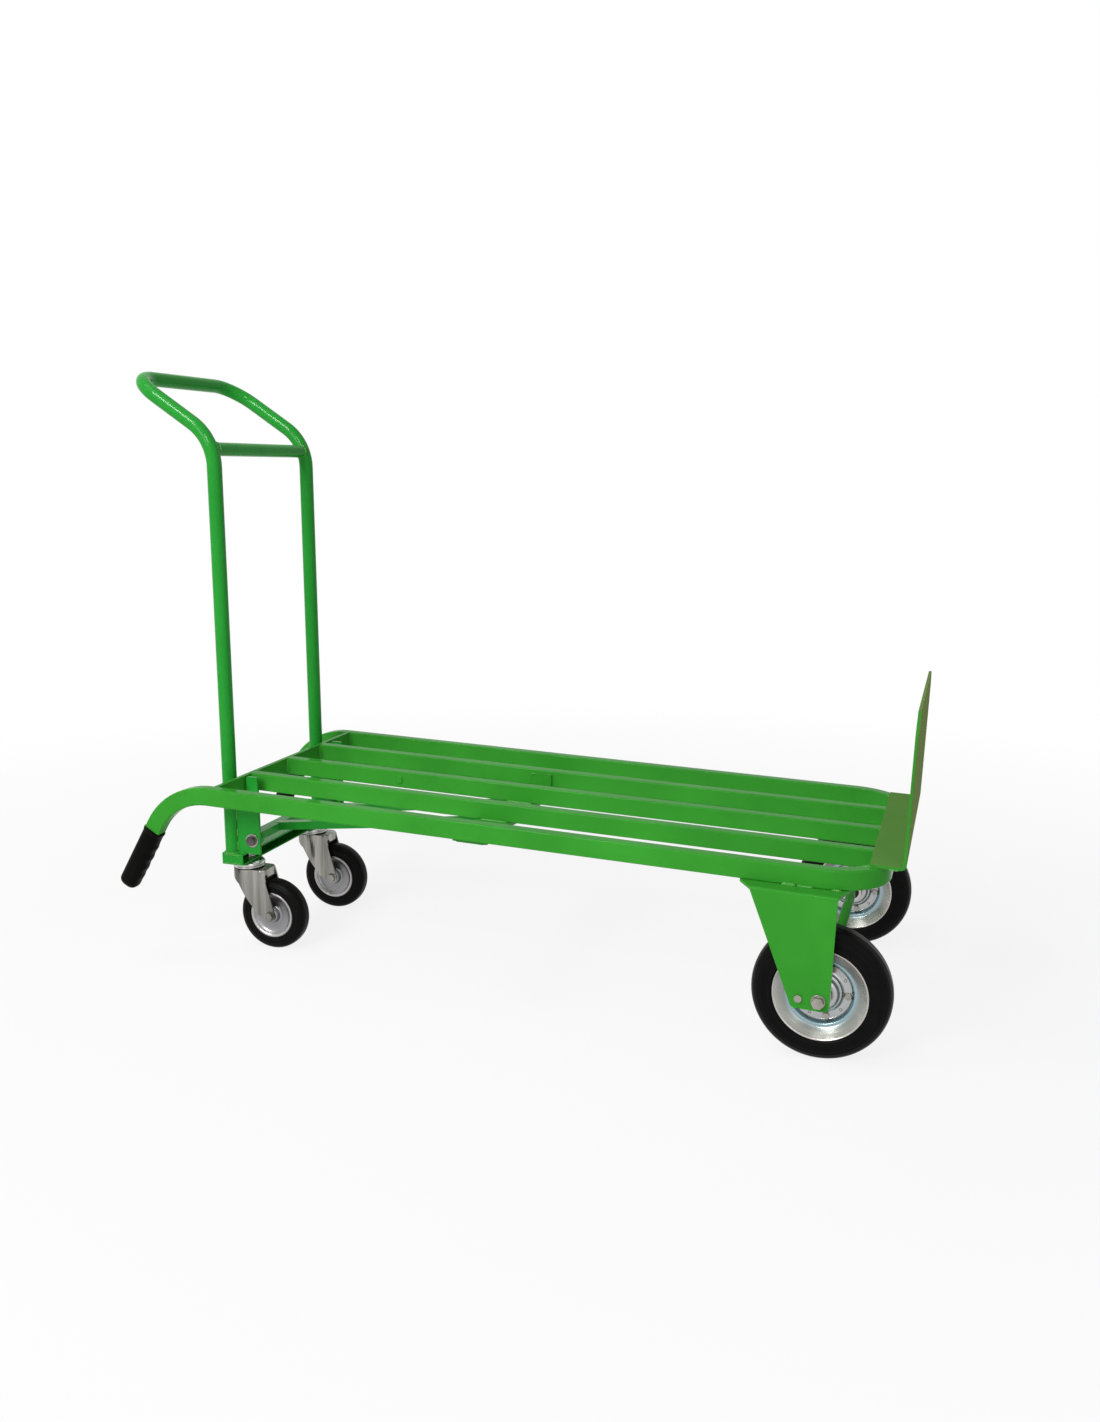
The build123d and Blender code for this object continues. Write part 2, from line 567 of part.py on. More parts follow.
def stay_frame():
    """Stay: a bar between the ears, two struts to the cross-member and the lugs that bolt to the ears."""
    pin_x, pin_z = tilted(MEMBER_X, LUG_PIN_Z)
    half_w, half_h = STAY_BAR_WIDTH / 2, STAY_HEIGHT / 2
    end = EAR_INNER_Y - SEAT_GAP
    stay = block(STAY_BAR_X - half_w, STAY_BAR_X + half_w, -end, end,
                 STAY_BAR_Z - half_h, STAY_BAR_Z + half_h)
    run = ((pin_x - STAY_BAR_X) ** 2 + (pin_z - STAY_BAR_Z) ** 2) ** 0.5
    rise = degrees(atan2(pin_z - STAY_BAR_Z, pin_x - STAY_BAR_X))
    for side in (-1, 1):
        strut = Pos(run / 2, 0, 0) * Box(run, STRUT_WIDTH, STAY_HEIGHT)
        stay += Pos(STAY_BAR_X, side * STRUT_Y, STAY_BAR_Z) * Rot(0, -rise, 0) * strut
        eye_ends = side * STRUT_Y - STRUT_WIDTH / 2, side * STRUT_Y + STRUT_WIDTH / 2
        stay += rod_y(pin_x, pin_z, STRUT_EYE_R, *eye_ends)
        stay -= rod_y(pin_x, pin_z, HINGE_PIN_R + RUNNING_GAP, *eye_ends)
        lug_ends = side * (end - STAY_LUG_THICK), side * end
        stay += rod_y(STAY_BOLT_X, STAY_BOLT_Z, STAY_LUG_R, *lug_ends)
        stay -= rod_y(STAY_BOLT_X, STAY_BOLT_Z, STAY_BOLT_R + SEAT_GAP, *lug_ends)
    return stay


def stay_bolt(side):
    """Bolt through an ear plate, screwed into a stay lug."""
    under_head = EAR_OUTER_Y + STAY_WASHER_H
    shank_end = EAR_INNER_Y - SEAT_GAP - STAY_LUG_THICK
    shank = rod_y(STAY_BOLT_X, STAY_BOLT_Z, STAY_BOLT_R, side * shank_end, side * under_head)
    head_ends = side * under_head, side * (under_head + STAY_BOLT_HEAD_H)
    return shank + hex_y(STAY_BOLT_X, STAY_BOLT_Z, STAY_BOLT_HEAD_R, *head_ends)


def stay_washer(side):
    """Wide washer under a stay bolt's head."""
    faces = side * EAR_OUTER_Y, side * (EAR_OUTER_Y + STAY_WASHER_H)
    washer = rod_y(STAY_BOLT_X, STAY_BOLT_Z, STAY_WASHER_R, *faces)
    return washer - rod_y(STAY_BOLT_X, STAY_BOLT_Z, STAY_BOLT_R + SEAT_GAP, *faces)


def lug_places():
    """Places along Y of the lugs, one on each side of each strut."""
    gap = STRUT_WIDTH / 2 + MOVING_GAP + LUG_THICK / 2
    return [side * STRUT_Y + offset for side in (-1, 1) for offset in (-gap, gap)]


def hinge_pin(side):
    """Headed pin through two lugs and the end of a strut."""
    reach = STRUT_WIDTH / 2 + MOVING_GAP + LUG_THICK
    middle = side * STRUT_Y
    pin = rod_y(MEMBER_X, LUG_PIN_Z, HINGE_PIN_R, middle - reach, middle + reach)
    for end in (-1, 1):
        face = middle + end * reach
        pin += rod_y(MEMBER_X, LUG_PIN_Z, HINGE_PIN_HEAD_R, face, face + end * HINGE_PIN_HEAD_H)
    return pin


def caster_head(side):
    """Fixed upper half of a caster's swivel bearing, under the beam."""
    low = FORK_TOP + MOVING_GAP
    x, y = CASTER_AXIS_X, side * CASTER_Y
    head = rod_z(x, y, CASTER_HEAD_R, low, BEAM_BOTTOM)
    head = fillet(head.edges().filter_by(GeomType.CIRCLE).sort_by(Axis.Z)[-1], CASTER_HEAD_DOME)
    head = fillet(head.edges().filter_by(GeomType.CIRCLE).sort_by(Axis.Z)[0], CASTER_HEAD_EDGE)
    return head - rod_z(x, y, KING_PIN_R + SEAT_GAP, low - 1, BEAM_BOTTOM + 1)


def caster_stud(side):
    """King pin of a caster: riveted under the fork's crown, threaded through the beam."""
    x, y = CASTER_AXIS_X, side * CASTER_Y
    crown_low = FORK_TOP - FORK_THICK
    rivet_top = crown_low - MOVING_GAP
    stud_top = BEAM_BOTTOM + BEAM_WALL + STUD_NUT_H + STUD_END
    rivet_low = rivet_top - KING_RIVET_H
    return rod_z(x, y, KING_PIN_R, rivet_low, stud_top) + rod_z(x, y, KING_RIVET_R, rivet_low, rivet_top)


def stud_nut(side):
    """Flanged nut on a caster's stud, inside the beam."""
    x, y = CASTER_AXIS_X, side * CASTER_Y
    low = BEAM_BOTTOM + BEAM_WALL
    top = low + STUD_NUT_H
    nut = hex_z(x, y, STUD_NUT_R, low, top) + rod_z(x, y, STUD_FLANGE_R, low, low + STUD_FLANGE_H)
    return nut - rod_z(x, y, KING_PIN_R + SEAT_GAP, low - 1, top + 1)


def crown_outline(inset):
    """Plan of a fork's crown: round about the swivel axis, drawn out over the wheel."""
    front = RectangleRounded(FORK_FRONT - inset, 2 * (FORK_OUTER - inset), FORK_FRONT_CORNER - inset)
    return Circle(FORK_CROWN_R - inset) + Pos((FORK_FRONT - inset) / 2, 0) * front


def leg_outline(inset, reach):
    """Plan of a fork's legs: round about the swivel axis, then straight on both sides of the wheel."""
    return Circle(FORK_CROWN_R - inset) + Pos(reach / 2, 0) * Rectangle(reach, 2 * (FORK_OUTER - inset))


def caster_fork(side):
    """Pressed fork: a crown under the swivel bearing and two raked legs to the wheel's axle."""
    axis, wheel_x, y = CASTER_AXIS_X, CASTER_WHEEL_X, side * CASTER_Y
    crown_low = FORK_TOP - FORK_THICK
    skirt_low = FORK_TOP - FORK_SKIRT
    low = CASTER_R - FORK_EYE_R
    crown = Pos(axis, y, skirt_low) * extrude(crown_outline(0), FORK_SKIRT)
    crown -= Pos(axis, y, skirt_low) * extrude(crown_outline(FORK_THICK), FORK_SKIRT - FORK_THICK)
    reach = CASTER_TRAIL + FORK_EYE_R
    wall = leg_outline(0, reach) - leg_outline(FORK_THICK, reach + FORK_THICK)
    back = axis - FORK_CROWN_R
    profile = [(back, FORK_TOP), (back, skirt_low), (axis + FORK_SHOULDER_X, FORK_SHOULDER_Z),
               (axis + FORK_HEEL_X, FORK_HEEL_Z), (wheel_x, low), (wheel_x + FORK_EYE_R, CASTER_R),
               (axis + FORK_LEG_FRONT, FORK_TOP)]
    legs = Pos(axis, y, low) * extrude(wall, crown_low - low)
    legs &= plate_xz(profile, y - 2 * FORK_CROWN_R, y + 2 * FORK_CROWN_R)
    fork = crown + legs
    for leg_side in (-1, 1):
        fork += rod_y(wheel_x, CASTER_R, FORK_EYE_R, y + leg_side * FORK_INNER, y + leg_side * FORK_OUTER)
    fork -= rod_z(axis, y, KING_PIN_R + RUNNING_GAP, crown_low - 1, FORK_TOP + 1)
    return fork - rod_y(wheel_x, CASTER_R, CASTER_AXLE_R + SEAT_GAP, y - 2 * FORK_OUTER, y + 2 * FORK_OUTER)


def caster_axle(side):
    """Axle bolt of a caster wheel, with head and nut outside the fork."""
    x, y = CASTER_WHEEL_X, side * CASTER_Y
    reach = FORK_OUTER
    axle = rod_y(x, CASTER_R, CASTER_AXLE_R, y - reach, y + reach)
    for end in (-1, 1):
        head_ends = y + end * reach, y + end * (reach + CASTER_AXLE_HEAD_H)
        axle += hex_y(x, CASTER_R, CASTER_AXLE_HEAD_R, *head_ends)
    return axle


def caster_tyre(side):
    """Rubber tyre of a caster wheel."""
    half = CASTER_WIDTH / 2
    seat = [(CASTER_RIM_R + RUNNING_GAP, half - CASTER_RIM_INSET)]
    return tyre_ring(CASTER_R, half, CASTER_SHOULDER, CASTER_BEAD, seat, CASTER_WHEEL_X, side * CASTER_Y)


def caster_rim(side):
    """Dished rim of a caster wheel with its hub, turning on the axle bolt."""
    edge = CASTER_WIDTH / 2 - CASTER_RIM_INSET
    hub = CASTER_WIDTH / 2 + FORK_SIDE_GAP - MOVING_GAP
    bore = CASTER_AXLE_R + RUNNING_GAP
    dish = edge - CASTER_RIM_DISH
    profile = [(bore, hub), (CASTER_HUB_R, hub), (CASTER_HUB_R + CASTER_HUB_FLARE, dish - CASTER_HUB_DROP),
               (CASTER_RIM_DISH_R, dish), (CASTER_RIM_DISH_R + CASTER_RIM_WALL_STEP, edge),
               (CASTER_RIM_R, edge)]
    profile += [(radius, -offset) for radius, offset in reversed(profile)]
    return ring_y(profile, CASTER_WHEEL_X, side * CASTER_Y, CASTER_R)


def gusset(side):
    """Small plate that ties a slat's inner face to the cross-member."""
    face = BAR_PITCH - BAR_WIDTH / 2
    half = GUSSET_LENGTH / 2
    return block(MEMBER_X - half, MEMBER_X + half, *sorted((side * face, side * (face - GUSSET_THICK))),
                 BAR_BOTTOM, BAR_BOTTOM + GUSSET_HEIGHT)


def slat_plug():
    """Domed plug in the near face of the middle slat."""
    face = -BAR_WIDTH / 2
    plug = rod_y(PLUG_X, BAR_MID_Z, PLUG_R, face - PLUG_RISE, face)
    rim = plug.edges().filter_by(GeomType.CIRCLE).sort_by(Axis.Y)[0]
    return fillet(rim, PLUG_EDGE)


SIDES = {"near": -1, "far": 1}
nodes = {}

# Deck: bars, toe plate, brackets and axle, all sloping with the deck
for name, side in SIDES.items():
    nodes[f"side_rail_{name}"] = TILT * side_rail(side * RAIL_Y)
    nodes[f"side_grip_{name}"] = TILT * grip(side * RAIL_Y)
    nodes[f"slat_{name}"] = TILT * bar_along_x(side * BAR_PITCH, END_BAR_INNER_X, SLAT_END_X)
    nodes[f"slat_gusset_{name}"] = TILT * gusset(side)
    nodes[f"wheel_bracket_{name}"] = TILT * wheel_bracket(side)
nodes["slat_middle"] = TILT * bar_along_x(0, END_BAR_INNER_X, SLAT_END_X)
nodes["slat_plug"] = TILT * slat_plug()
nodes["toe_tube"] = TILT * toe_tube()
nodes["toe_plate"] = TILT * toe_plate()
nodes["end_cross_bar"] = TILT * block(END_BAR_X, END_BAR_INNER_X, -RAIL_INNER_Y, RAIL_INNER_Y,
                                      BAR_BOTTOM, DECK_TOP)
nodes["mid_cross_member"] = TILT * block(MEMBER_X - MEMBER_WIDTH / 2, MEMBER_X + MEMBER_WIDTH / 2,
                                         -RAIL_INNER_Y - MEMBER_END_LAP, RAIL_INNER_Y + MEMBER_END_LAP,
                                         BAR_BOTTOM - MEMBER_THICK, BAR_BOTTOM)
nodes["hinge_lugs"] = TILT * Compound(children=[hinge_lug(y) for y in lug_places()])
nodes["hinge_pins"] = TILT * Compound(children=[hinge_pin(side) for side in SIDES.values()])
nodes["axle_bar"] = TILT * axle_bar()
nodes["axle_nuts"] = TILT * Compound(children=[axle_nut(side) for side in SIDES.values()])
nodes["axle_washers"] = TILT * Compound(children=[axle_washer(side) for side in SIDES.values()])
nodes["bracket_rivets"] = TILT * Compound(children=[bracket_rivet(side) for side in SIDES.values()])

# Road wheels
for name, side in SIDES.items():
    wheel_y = side * WHEEL_Y
    nodes[f"wheel_tyre_{name}"] = wheel_tyre(wheel_y)
    nodes[f"rim_outer_{name}"] = rim_disc(wheel_y, side)
    nodes[f"rim_inner_{name}"] = rim_disc(wheel_y, -side)
    nodes[f"wheel_hub_{name}"] = wheel_hub(side)
    nodes[f"hub_bush_{name}"] = hub_bush(side)
    bolts = [rim_bolt(wheel_y, side, x, z) for x, z in rim_bolt_places()]
    nodes[f"rim_bolts_{name}"] = Compound(children=bolts)

# Push unit
nodes["push_handle"] = push_handle()
nodes["neck_bar"] = neck_bar()
nodes["caster_beam"] = caster_beam()
nodes["stay_frame"] = stay_frame()
nodes["stay_bolts"] = Compound(children=[stay_bolt(side) for side in SIDES.values()])
nodes["stay_washers"] = Compound(children=[stay_washer(side) for side in SIDES.values()])
nodes["stud_nuts"] = Compound(children=[stud_nut(side) for side in SIDES.values()])
for name, side in SIDES.items():
    nodes[f"ear_plate_{name}"] = ear_plate(side)
    nodes[f"caster_head_{name}"] = caster_head(side)
    nodes[f"caster_stud_{name}"] = caster_stud(side)
    nodes[f"caster_fork_{name}"] = caster_fork(side)
    nodes[f"caster_axle_{name}"] = caster_axle(side)
    nodes[f"caster_tyre_{name}"] = caster_tyre(side)
    nodes[f"caster_rim_{name}"] = caster_rim(side)

# Origin on the floor under the middle of the whole trolley
boxes = [shape.bounding_box() for shape in nodes.values()]
ORIGIN_X = (min(box.min.X for box in boxes) + max(box.max.X for box in boxes)) / 2
os.makedirs("parts", exist_ok=True)
for node, shape in nodes.items():
    export_step(Pos(-ORIGIN_X, 0, 0) * shape, f"parts/{node}.step")
print("axle is at x", round(-ORIGIN_X, 3), "nodes", len(nodes))
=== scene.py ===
import json
from math import cos, pi, radians, sin, sqrt, tau
from random import Random

import bmesh
import bpy
from mathutils import Matrix, Vector

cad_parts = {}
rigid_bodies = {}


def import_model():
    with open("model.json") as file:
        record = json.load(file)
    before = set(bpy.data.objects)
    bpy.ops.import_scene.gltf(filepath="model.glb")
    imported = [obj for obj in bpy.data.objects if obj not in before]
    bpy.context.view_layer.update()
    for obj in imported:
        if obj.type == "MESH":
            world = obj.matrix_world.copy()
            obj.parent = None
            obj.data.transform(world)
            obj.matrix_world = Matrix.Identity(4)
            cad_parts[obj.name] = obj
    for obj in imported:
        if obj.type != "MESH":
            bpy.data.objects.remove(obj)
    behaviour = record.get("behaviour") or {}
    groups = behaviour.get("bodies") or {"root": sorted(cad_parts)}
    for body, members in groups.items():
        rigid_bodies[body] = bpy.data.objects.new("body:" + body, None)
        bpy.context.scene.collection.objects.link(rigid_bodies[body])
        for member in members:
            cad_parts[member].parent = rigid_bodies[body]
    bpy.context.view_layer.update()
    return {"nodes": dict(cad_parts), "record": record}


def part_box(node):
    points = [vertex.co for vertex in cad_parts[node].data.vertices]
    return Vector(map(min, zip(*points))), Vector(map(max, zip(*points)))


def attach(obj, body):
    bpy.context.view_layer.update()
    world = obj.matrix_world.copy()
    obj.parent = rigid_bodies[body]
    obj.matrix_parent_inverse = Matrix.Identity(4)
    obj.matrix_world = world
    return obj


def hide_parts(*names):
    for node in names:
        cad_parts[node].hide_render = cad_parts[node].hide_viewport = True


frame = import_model()
nodes = frame["nodes"]
SIDES = {"near": -1, "far": 1}
MM = 0.001

# Deck frame: the deck slopes about the road wheels' axle
DECK_SLOPE = radians(2.0)
tyre_low, tyre_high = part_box("wheel_tyre_near")
WHEEL_R = (tyre_high.z - tyre_low.z) / 2
AXLE_X = (tyre_high.x + tyre_low.x) / 2
WHEEL_Y = -(tyre_high.y + tyre_low.y) / 2
DECK = (Matrix.Translation((AXLE_X, 0, WHEEL_R)) @ Matrix.Rotation(DECK_SLOPE, 4, "Y")
        @ Matrix.Translation((0, 0, -WHEEL_R)))
LEVEL = Matrix.Translation((AXLE_X, 0, 0))

# Deck sizes in metres, measured from the axle before the slope
DECK_TOP = 0.283
BAR_HEIGHT = 0.0293
BAR_HALF = 0.0105
BAR_PITCH = 0.121
END_BAR_INNER_X = -0.9955
END_BAR_OUTER_X = -1.0035
SLAT_END_X = 0.0585
MEMBER_X = -0.548
MEMBER_HALF = 0.029
MEMBER_THICK = 0.008
BAR_BOTTOM = DECK_TOP - BAR_HEIGHT
BAR_MIDDLE = DECK_TOP - BAR_HEIGHT / 2
RAIL_Y = 2 * BAR_PITCH
SLATS_Y = (-BAR_PITCH, 0.0, BAR_PITCH)

# Push unit sizes in metres, measured from the axle on the level
UPRIGHT_X = -1.0193
UPRIGHT_Y = 0.1508
TUBE_R = 0.0123
NECK_X = -1.0243
NECK_Z = 0.864
NECK_R = 0.0113
BEAM_LEFT = -1.034
BEAM_RIGHT = -0.993
BEAM_TOP = 0.180
BEAM_BOTTOM = 0.160
BEAM_HALF = 0.1631
EAR_HALF_THICK = 0.0025


# Materials

def new_material(name):
    """Material with its node tree and its shader."""
    material = bpy.data.materials.new(name)
    material.use_nodes = True
    tree = material.node_tree
    return material, tree, tree.nodes["Principled BSDF"]


def add(tree, kind, **settings):
    """Adds a node and sets its properties."""
    node = tree.nodes.new(kind)
    for key, value in settings.items():
        setattr(node, key, value)
    return node


def noise(tree, scale, detail=3.0, roughness=0.55, stretch=None):
    """Noise texture in object space, stretched along an axis where asked."""
    place = add(tree, "ShaderNodeTexCoord").outputs["Object"]
    if stretch:
        mapping = add(tree, "ShaderNodeMapping")
        mapping.inputs["Scale"].default_value = stretch
        tree.links.new(place, mapping.inputs["Vector"])
        place = mapping.outputs["Vector"]
    texture = add(tree, "ShaderNodeTexNoise")
    texture.inputs["Scale"].default_value = scale
    texture.inputs["Detail"].default_value = detail
    texture.inputs["Roughness"].default_value = roughness
    tree.links.new(place, texture.inputs["Vector"])
    return texture.outputs["Fac"]


def ramp(tree, source, stops):
    """Colour ramp from a list of place and colour."""
    node = add(tree, "ShaderNodeValToRGB")
    elements = node.color_ramp.elements
    while len(elements) < len(stops):
        elements.new(0.5)
    for element, (place, colour) in zip(elements, stops):
        element.position = place
        element.color = (*colour, 1.0)
    tree.links.new(source, node.inputs["Fac"])
    return node.outputs["Color"]


def spread(tree, source, low, high, start=0.0, end=1.0):
    """Maps a value from start and end onto low and high."""
    node = add(tree, "ShaderNodeMapRange")
    node.inputs["From Min"].default_value = start
    node.inputs["From Max"].default_value = end
    node.inputs["To Min"].default_value = low
    node.inputs["To Max"].default_value = high
    tree.links.new(source, node.inputs["Value"])
    return node.outputs["Result"]


def tinted(tree, colour, tint):
    """One colour multiplied by another."""
    node = add(tree, "ShaderNodeMix", data_type="RGBA", blend_type="MULTIPLY")
    factor, first, second = node.inputs[0], node.inputs[6], node.inputs[7]
    factor.default_value = 1.0
    tree.links.new(colour, first)
    tree.links.new(tint, second)
    return node.outputs[2]


def facing_up(tree, share):
    """Value that rises to a share on faces that look up."""
    place = add(tree, "ShaderNodeTexCoord")
    parts = add(tree, "ShaderNodeSeparateXYZ")
    tree.links.new(place.outputs["Normal"], parts.inputs["Vector"])
    return spread(tree, parts.outputs["Z"], 0.0, share, start=0.75, end=0.97)


def covered(tree, shader, amount, colour):
    """Lays a second colour over a shader's own where the amount says."""
    node = add(tree, "ShaderNodeMix", data_type="RGBA")
    factor, first, second = node.inputs[0], node.inputs[6], node.inputs[7]
    tree.links.new(amount, factor)
    tree.links.new(shader.inputs["Base Color"].links[0].from_socket, first)
    second.default_value = (*colour, 1.0)
    tree.links.new(node.outputs[2], shader.inputs["Base Color"])


def bump(tree, shader, height, strength, distance):
    """Bump on a shader's normal; a second call builds on the first."""
    node = add(tree, "ShaderNodeBump")
    node.inputs["Strength"].default_value = strength
    node.inputs["Distance"].default_value = distance
    tree.links.new(height, node.inputs["Height"])
    socket = shader.inputs["Normal"]
    if socket.is_linked:
        tree.links.new(socket.links[0].from_socket, node.inputs["Normal"])
    tree.links.new(node.outputs["Normal"], socket)


SCUFF = (0.75, 0.82, 0.75)
UNTOUCHED = (1.0, 1.0, 1.0)


def paint(name, dark, light, roughness, gloss):
    """Glossy powder coat: uneven depth, faint orange peel and small dull scuffs."""
    material, tree, shader = new_material(name)
    colour = ramp(tree, noise(tree, scale=7.0, detail=4.0), [(0.3, dark), (0.7, light)])
    wear = noise(tree, scale=60.0, detail=7.0, roughness=0.7)
    marks = ramp(tree, wear, [(0.64, UNTOUCHED), (0.74, SCUFF)])
    tree.links.new(tinted(tree, colour, marks), shader.inputs["Base Color"])
    patches = noise(tree, scale=24.0, detail=5.0)
    tree.links.new(spread(tree, patches, roughness * 0.75, roughness * 1.3), shader.inputs["Roughness"])
    shader.inputs["Specular IOR Level"].default_value = gloss
    bump(tree, shader, noise(tree, scale=420.0, detail=2.0), strength=0.003, distance=0.0006)
    bump(tree, shader, noise(tree, scale=45.0, detail=2.0), strength=0.010, distance=0.002)
    return material


def toe_paint():
    """Toe plate's duller coat with a brownish sheen at a flat view; the olive colour on faces that look up,
    such as its flange, is a painted reflection.
    """
    material = paint("scuffed_coat_with_painted_reflection", (0.040, 0.245, 0.028), (0.050, 0.295, 0.034),
                     roughness=0.45, gloss=0.0)
    tree = material.node_tree
    shader = tree.nodes["Principled BSDF"]
    # Painted reflection: an olive colour is laid over faces that look up, such as the flange.
    covered(tree, shader, facing_up(tree, 0.25), (0.085, 0.215, 0.048))
    shader.inputs["Sheen Weight"].default_value = 0.36
    shader.inputs["Sheen Roughness"].default_value = 0.4
    shader.inputs["Sheen Tint"].default_value = (1.0, 0.64, 0.45, 1.0)
    return material


def zinc(name, dark, light, roughness, grit=0.03, tints_and_painted_light=None, stretch=None):
    """Zinc plating with a faintly cloudy tone; where stretched, that tone runs in light and dark streaks
    that are painted highlights. A turned or pressed piece also gets colour rings round its axis, the
    plating's tints together with painted light and shade, and marks round its axis.
    """
    material, tree, shader = new_material(name)
    shader.inputs["Metallic"].default_value = 1.0
    clouds_and_painted_streaks = noise(tree, scale=30.0, detail=5.0, roughness=0.6, stretch=stretch)
    colour = ramp(tree, clouds_and_painted_streaks, [(0.36, dark), (0.64, light)])
    if tints_and_painted_light:
        place = add(tree, "ShaderNodeTexCoord")
        flat = add(tree, "ShaderNodeVectorMath", operation="MULTIPLY")
        flat.inputs[1].default_value = (1, 0, 1)
        reach = add(tree, "ShaderNodeVectorMath", operation="LENGTH")
        tree.links.new(place.outputs["Object"], flat.inputs[0])
        tree.links.new(flat.outputs["Vector"], reach.inputs[0])
        radius = spread(tree, reach.outputs["Value"], 0.0, 1.0, end=WHEEL_R)
        # Rings by radius: the plating's tints together with painted light and shade.
        colour = tinted(tree, colour, ramp(tree, radius, tints_and_painted_light))
        marks = add(tree, "ShaderNodeTexWave", wave_type="RINGS", rings_direction="Y")
        marks.inputs["Scale"].default_value = 230.0
        marks.inputs["Distortion"].default_value = 0.5
        tree.links.new(place.outputs["Object"], marks.inputs["Vector"])
        bump(tree, shader, marks.outputs["Fac"], strength=0.010, distance=0.0002)
    tree.links.new(colour, shader.inputs["Base Color"])
    fine = noise(tree, scale=140.0, detail=4.0, stretch=stretch)
    tree.links.new(spread(tree, fine, roughness * 0.85, roughness * 1.2), shader.inputs["Roughness"])
    bump(tree, shader, fine, strength=grit, distance=0.0004)
    return material


def rubber(name, dark, light, roughness, scale, gloss, grain=0.12):
    """Black rubber with a fine grain and a little dust."""
    material, tree, shader = new_material(name)
    dust = noise(tree, scale=34.0, detail=6.0, roughness=0.7)
    tree.links.new(ramp(tree, dust, [(0.4, dark), (0.8, light)]), shader.inputs["Base Color"])
    tree.links.new(spread(tree, dust, roughness * 0.85, roughness * 1.2), shader.inputs["Roughness"])
    shader.inputs["Specular IOR Level"].default_value = gloss
    bump(tree, shader, noise(tree, scale), strength=grain, distance=0.0006)
    return material


# Colour rings of the rims: radius as a share of the road wheel's, and colour; they hold the plating's
# bluish and pinkish tints, and painted light and shade: lighter on the rolled lip and raised rings, darker
# in the hollow channel.
ROAD_RIM_TINTS_AND_PAINTED_LIGHT = [(0.16, (0.90, 0.90, 0.90)), (0.26, (0.76, 0.77, 0.78)), (0.34, (0.85, 0.86, 0.87)),
              (0.43, (0.78, 0.81, 0.83)), (0.447, (0.52, 0.80, 0.92)), (0.49, (0.58, 0.84, 0.94)),
              (0.515, (0.58, 0.68, 0.71)), (0.58, (0.66, 0.68, 0.64)), (0.64, (0.84, 0.83, 0.79)),
              (0.67, (1.0, 0.94, 0.91)), (0.685, (0.66, 0.54, 0.56))]
CASTER_RIM_TINTS_AND_PAINTED_LIGHT = [(0.10, (0.70, 0.70, 0.70)), (0.20, (0.55, 0.55, 0.56)), (0.32, (0.62, 0.62, 0.64)),
                (0.375, (1.0, 0.98, 0.96)), (0.39, (0.95, 0.90, 0.90)), (0.408, (0.48, 0.38, 0.42))]
ALONG_Z = (1.0, 1.0, 0.06)

GREEN = paint("green_powder_coat", (0.036, 0.280, 0.026), (0.045, 0.342, 0.032),
              roughness=0.10, gloss=0.025)
UNIT_GREEN = paint("unit_powder_coat", (0.018, 0.280, 0.029), (0.022, 0.330, 0.035),
                   roughness=0.10, gloss=0.07)
# Painted highlight: the welds' coat is a lighter green than the rest, so that the beads read as glints.
WELD_GREEN_PAINTED_GLINT = paint("weld_coat_painted_lighter", (0.060, 0.320, 0.042), (0.100, 0.400, 0.070),
                   roughness=0.22, gloss=0.14)
TOE_GREEN = toe_paint()
# Painted highlights: this zinc's stretched noise makes light and dark vertical streaks on the zinc-plated
# parts, such as the caster forks.
ZINC_WITH_PAINTED_STREAKS = zinc("zinc_plate", (0.085, 0.080, 0.068), (0.39, 0.38, 0.35), roughness=0.24, stretch=ALONG_Z)
DARK_ZINC = zinc("dark_zinc", (0.085, 0.082, 0.078), (0.15, 0.146, 0.138), roughness=0.28)
DULL_ZINC = zinc("dull_zinc", (0.30, 0.285, 0.25), (0.42, 0.40, 0.36), roughness=0.30)
STEEL = zinc("bright_steel", (0.44, 0.44, 0.43), (0.62, 0.62, 0.61), roughness=0.17)
ROAD_RIM = zinc("road_rim_zinc", (0.50, 0.50, 0.49), (0.56, 0.56, 0.55), roughness=0.26,
                grit=0.004, tints_and_painted_light=ROAD_RIM_TINTS_AND_PAINTED_LIGHT)
CASTER_RIM = zinc("caster_rim_zinc", (0.44, 0.44, 0.44), (0.50, 0.50, 0.50), roughness=0.36,
                  grit=0.004, tints_and_painted_light=CASTER_RIM_TINTS_AND_PAINTED_LIGHT)
TYRE = rubber("tyre_rubber", (0.0030, 0.0026, 0.0026), (0.0060, 0.0055, 0.0055), roughness=0.34,
              scale=900.0, gloss=0.06)
GRIP = rubber("grip_rubber", (0.0022, 0.0020, 0.0018), (0.0048, 0.0044, 0.0040), roughness=0.40,
              scale=700.0, gloss=0.04)
PLASTIC = rubber("black_plastic", (0.006, 0.006, 0.006), (0.011, 0.011, 0.011), roughness=0.42,
                 scale=500.0, gloss=0.3, grain=0.05)

SLOT_MATERIALS = {"green_paint": GREEN, "zinc_plate": ZINC_WITH_PAINTED_STREAKS, "tyre_rubber": TYRE, "grip_rubber": GRIP,
                  "green_plug": GREEN, "black_plastic": PLASTIC}
NODE_MATERIALS = {"toe_plate": TOE_GREEN, "stay_bolts": DARK_ZINC}
for name in ("push_handle", "neck_bar", "caster_beam", "stay_frame", "ear_plate_near", "ear_plate_far"):
    NODE_MATERIALS[name] = UNIT_GREEN
for name in ("stay_washers", "axle_nuts", "axle_washers", "bracket_rivets", "rim_bolts_near",
             "rim_bolts_far"):
    NODE_MATERIALS[name] = DULL_ZINC
for name in ("stud_nuts", "wheel_hub_near", "wheel_hub_far"):
    NODE_MATERIALS[name] = STEEL
for part in frame["record"]["subparts"]:
    name = part["node"]
    nodes[name].data.materials.clear()
    nodes[name].data.materials.append(NODE_MATERIALS.get(name, SLOT_MATERIALS[part["material_slot"]]))


